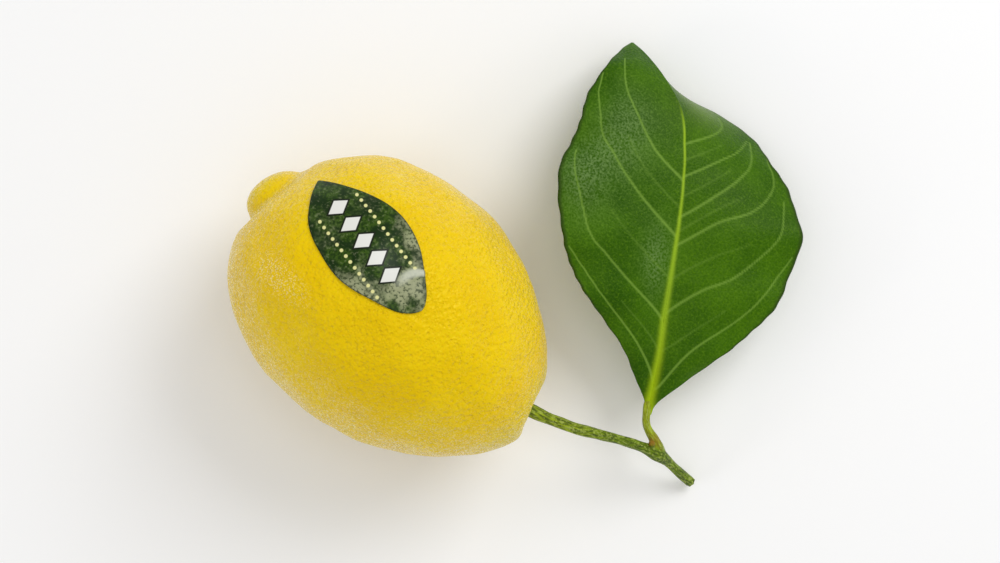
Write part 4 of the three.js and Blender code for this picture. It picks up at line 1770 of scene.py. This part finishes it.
@dataclass
class PeelLabel(Piece):
    """The thin oval label that follows the peel, with one crease across it."""

    form: FruitForm
    finish: LabelFinish = LabelFinish()
    thick: float = 0.14
    clear: float = 0.1
    rim_sharpness: int = 24
    start: Pair = (-30.6, 13.1)
    end: Pair = (6.9, 4.0)
    left_margin: tuple[Pair, ...] = (
        (-0.9, 0.1), (0, -1.6), (1.2, -3.4), (3.9, -6.1), (6.2, -7.8), (9.7, -9.1), (13.5, -9.7),
        (17.4, -10.05), (21.2, -9.8), (25.1, -8.7), (28.9, -7), (32.8, -5.2), (35.1, -3.9), (37, -2.1),
        (37.9, -0.7), (38.4, 0.8),
    )
    right_margin: tuple[Pair, ...] = (
        (-0.9, 0.1), (0, 0.95), (1.2, 2.1), (3.9, 4.3), (7.7, 6.95), (11.6, 8.8), (15.4, 10),
        (19.3, 10.6), (23.2, 10.25), (27, 9.1), (30.9, 7.1), (34.7, 4.9), (36.3, 3.8), (37.4, 2.7),
        (38.1, 1.7), (38.4, 0.8),
    )
    crease_height: float = 0.4
    crease_width: float = 0.7
    crease_spread: float = 1.6
    crease_fade: float = 0.97
    crease_fade_range: Pair = (0.1, 1.0)
    crease_steps: int = 80
    crease_line: tuple[Pair, ...] = (
        (32.3, 6.8), (30.6, 4.7), (30, 3), (30.1, 0.7), (30.1, -1.6), (30.4, -4),
    )
    tip_shares: Pair = (0.002, 0.998)
    rows: int = 150
    half_columns: int = 40
    node: ClassVar[str] = "label"
    slot: ClassVar[Slot] = Slot.LABEL_FILM

    def __post_init__(self) -> None:
        """Lay out the two margins and the crease."""
        lines = (self.left_margin, self.right_margin, self.crease_line)
        self._left, self._right, self._crease = (SmoothCurve(line) for line in lines)

    def build(self, groups: ShaderGroups) -> None:
        """Lay the film over the peel and tie it to the frame."""
        self.settle(self.skin().to_object("label_film", self.finish.build(groups)))

    def flat(self, share: Array, across: Array) -> Array:
        """Find points of the film before it is laid on the peel.

        Args:
            share: Shares of both margins, from tip to tip.
            across: From -1 at the left margin to 1 at the right one.

        Returns:
            Millimetres along and across the label, and 0.
        """
        return lerp(self._left.at(share), self._right.at(share), (across[..., None] + 1) / 2)

    def crease(self, flat: Array) -> Array:
        """Height of the crease over the film, which fades away along it."""
        shares = np.linspace(0, 1, self.crease_steps)
        gaps = np.linalg.norm(flat[..., None, :] - self._crease.at(shares), axis=-1)
        nearest = shares[gaps.argmin(axis=-1)]
        ridge = hump(gaps.min(axis=-1), self.crease_width + self.crease_spread * nearest)
        return self.crease_height * ridge * (1 - self.crease_fade * rise(nearest, *self.crease_fade_range))

    def over_peel(self, flat: Array, height: Array | float) -> Array:
        """Lay flat points on the peel.

        Args:
            flat: Points of the flat film.
            height: Their height over the peel, in millimetres.

        Returns:
            The points.
        """
        start, end = np.array(self.start), np.array(self.end)
        run = unit(end - start)
        aside = np.array([-run[1], run[0]])
        seen = start + run * flat[..., :1] + aside * flat[..., 1:2]
        x = seen[..., 0]
        turn = np.arcsin((seen[..., 1] - self.form.axis_y(x)) / self.form.plain_radius(x))
        return self.form.point_over(x, turn, height)

    def skin(self) -> Shell:
        """Close the film's upper and lower face."""
        columns = np.sin(np.linspace(-1, 1, 2 * self.half_columns + 1) * math.pi / 2)[None, :]
        shares, columns = np.broadcast_arrays(steps_between(self.rows), columns)
        flat = self.flat(shares, columns)
        crease = self.crease(flat)
        middle = self.clear + self.thick / 2
        half_thick = self.thick / 2 * np.sqrt(np.clip(1 - np.abs(columns) ** self.rim_sharpness, 0, 1))
        upper, lower = (self.over_peel(flat, middle + crease + way * half_thick) for way in (1, -1))
        half_width = np.linalg.norm(flat[:, -1] - flat[:, 0], axis=-1)[:, None] / 2
        painted = {
            "along": flat[..., 0],
            "across": flat[..., 1],
            "inset": half_width * (1 - np.abs(columns)),
            # The crease's height also sets where its painted highlight runs.
            "crease": crease / self.crease_height,
        }
        values = {name: both_faces(numbers, numbers) for name, numbers in painted.items()}
        tips = (self.flat(np.array(end), np.array(0.0)) for end in self.tip_shares)
        first, last = (self.over_peel(tip, middle) for tip in tips)
        return Shell.from_rings(first, both_faces(upper, lower), last, values)


@dataclass(frozen=True)
class Softbox:
    """A large soft light: where it hangs, its size and its power, in metres and watts."""

    name: str
    place: Point
    size: Pair
    power: float


@dataclass
class Studio:
    """The pale floor, the soft lights and the camera over the lemon, in metres."""

    camera_place: Point = (0.01677, 0.02137, 0.703)
    camera_roll: float = 38.75
    camera_range: Pair = (0.01, 30.0)
    lens: float = 100.0
    floor_size: float = 8.0
    floor_colour: Colour = (0.97, 0.97, 0.97)
    floor_shade: float = 0.985
    floor_patch_scale: float = 4.0
    floor_finish: Finish = Finish(roughness=0.7, specular=0.2)
    sky: float = 0.6
    light_aim: Point = (0.02, 0.02, 0.03)
    lights: tuple[Softbox, ...] = (
        Softbox("key_softbox", (0.105, 0.793, 0.808), (0.6, 0.6), 5.3),
        Softbox("top_softbox", (0.02, 0.02, 1.13), (0.6, 0.6), 1.1),
        Softbox("side_softbox", (-0.29, -0.48, 0.3), (0.15, 0.15), 0.3),
    )

    def build(self) -> None:
        """Set up the whole studio."""
        self.add_floor()
        self.add_sky()
        for light in self.lights:
            self.add_light(light)
        self.add_camera()
        bpy.context.scene.view_settings.view_transform = "Standard"
        LOG.info("studio: floor, sky, %d lights and camera", len(self.lights))

    def add_floor(self) -> None:
        """Lay a wide plain floor at the height that the fruit rests on."""
        half = self.floor_size / 2
        corners = [(-half, -half, 0), (half, -half, 0), (half, half, 0), (-half, half, 0)]
        mesh = bpy.data.meshes.new("floor")
        mesh.from_pydata(corners, [], [(0, 1, 2, 3)])
        graph, shader, material = self.floor_finish.start("floor_paper")
        patches = {"Vector": graph.place(), "Scale": self.floor_patch_scale}
        noise = graph.add("ShaderNodeTexNoise", patches).outputs["Fac"]
        shade = tuple(part * self.floor_shade for part in self.floor_colour)
        graph.feed(shader, {"Base Color": graph.mix(noise, self.floor_colour, shade)})
        mesh.materials.append(material)
        floor = bpy.data.objects.new("floor", mesh)
        bpy.context.scene.collection.objects.link(floor)

    def add_sky(self) -> None:
        """Surround the scene with even white light."""
        world = bpy.data.worlds.new("white_room")
        world.use_nodes = True
        background = world.node_tree.nodes["Background"]
        background.inputs["Color"].default_value = (1.0, 1.0, 1.0, 1.0)
        background.inputs["Strength"].default_value = self.sky
        bpy.context.scene.world = world

    def add_light(self, softbox: Softbox) -> None:
        """Hang one softbox and turn it to the lemon."""
        lamp = bpy.data.lights.new(softbox.name, "AREA")
        lamp.shape = "RECTANGLE"
        lamp.size, lamp.size_y = softbox.size
        lamp.energy = softbox.power
        light = bpy.data.objects.new(softbox.name, lamp)
        light.location = softbox.place
        facing = Vector(self.light_aim) - Vector(softbox.place)
        light.rotation_euler = facing.to_track_quat("-Z", "Y").to_euler()
        bpy.context.scene.collection.objects.link(light)

    def add_camera(self) -> None:
        """Hang the camera straight over the lemon."""
        lens = bpy.data.cameras.new("camera")
        lens.lens = self.lens
        lens.clip_start, lens.clip_end = self.camera_range
        camera = bpy.data.objects.new("camera", lens)
        camera.location = self.camera_place
        camera.rotation_euler = (0.0, 0.0, math.radians(self.camera_roll))
        bpy.context.scene.collection.objects.link(camera)
        bpy.context.scene.camera = camera


def write_sizes() -> None:
    """Bring the scene's placements up to date."""
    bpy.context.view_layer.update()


def main() -> None:
    """Build every piece in order, then the studio."""
    logging.basicConfig(level=logging.INFO, format="%(name)s: %(message)s")
    groups = ShaderGroups()
    form = FruitForm()
    for piece in (Peel(form), Calyx(form), Twig(), LeafStalk(), LeafBlade(), PeelLabel(form)):
        piece.build(groups)
    Studio().build()
    write_sizes()


if __name__ == "__main__":
    main()
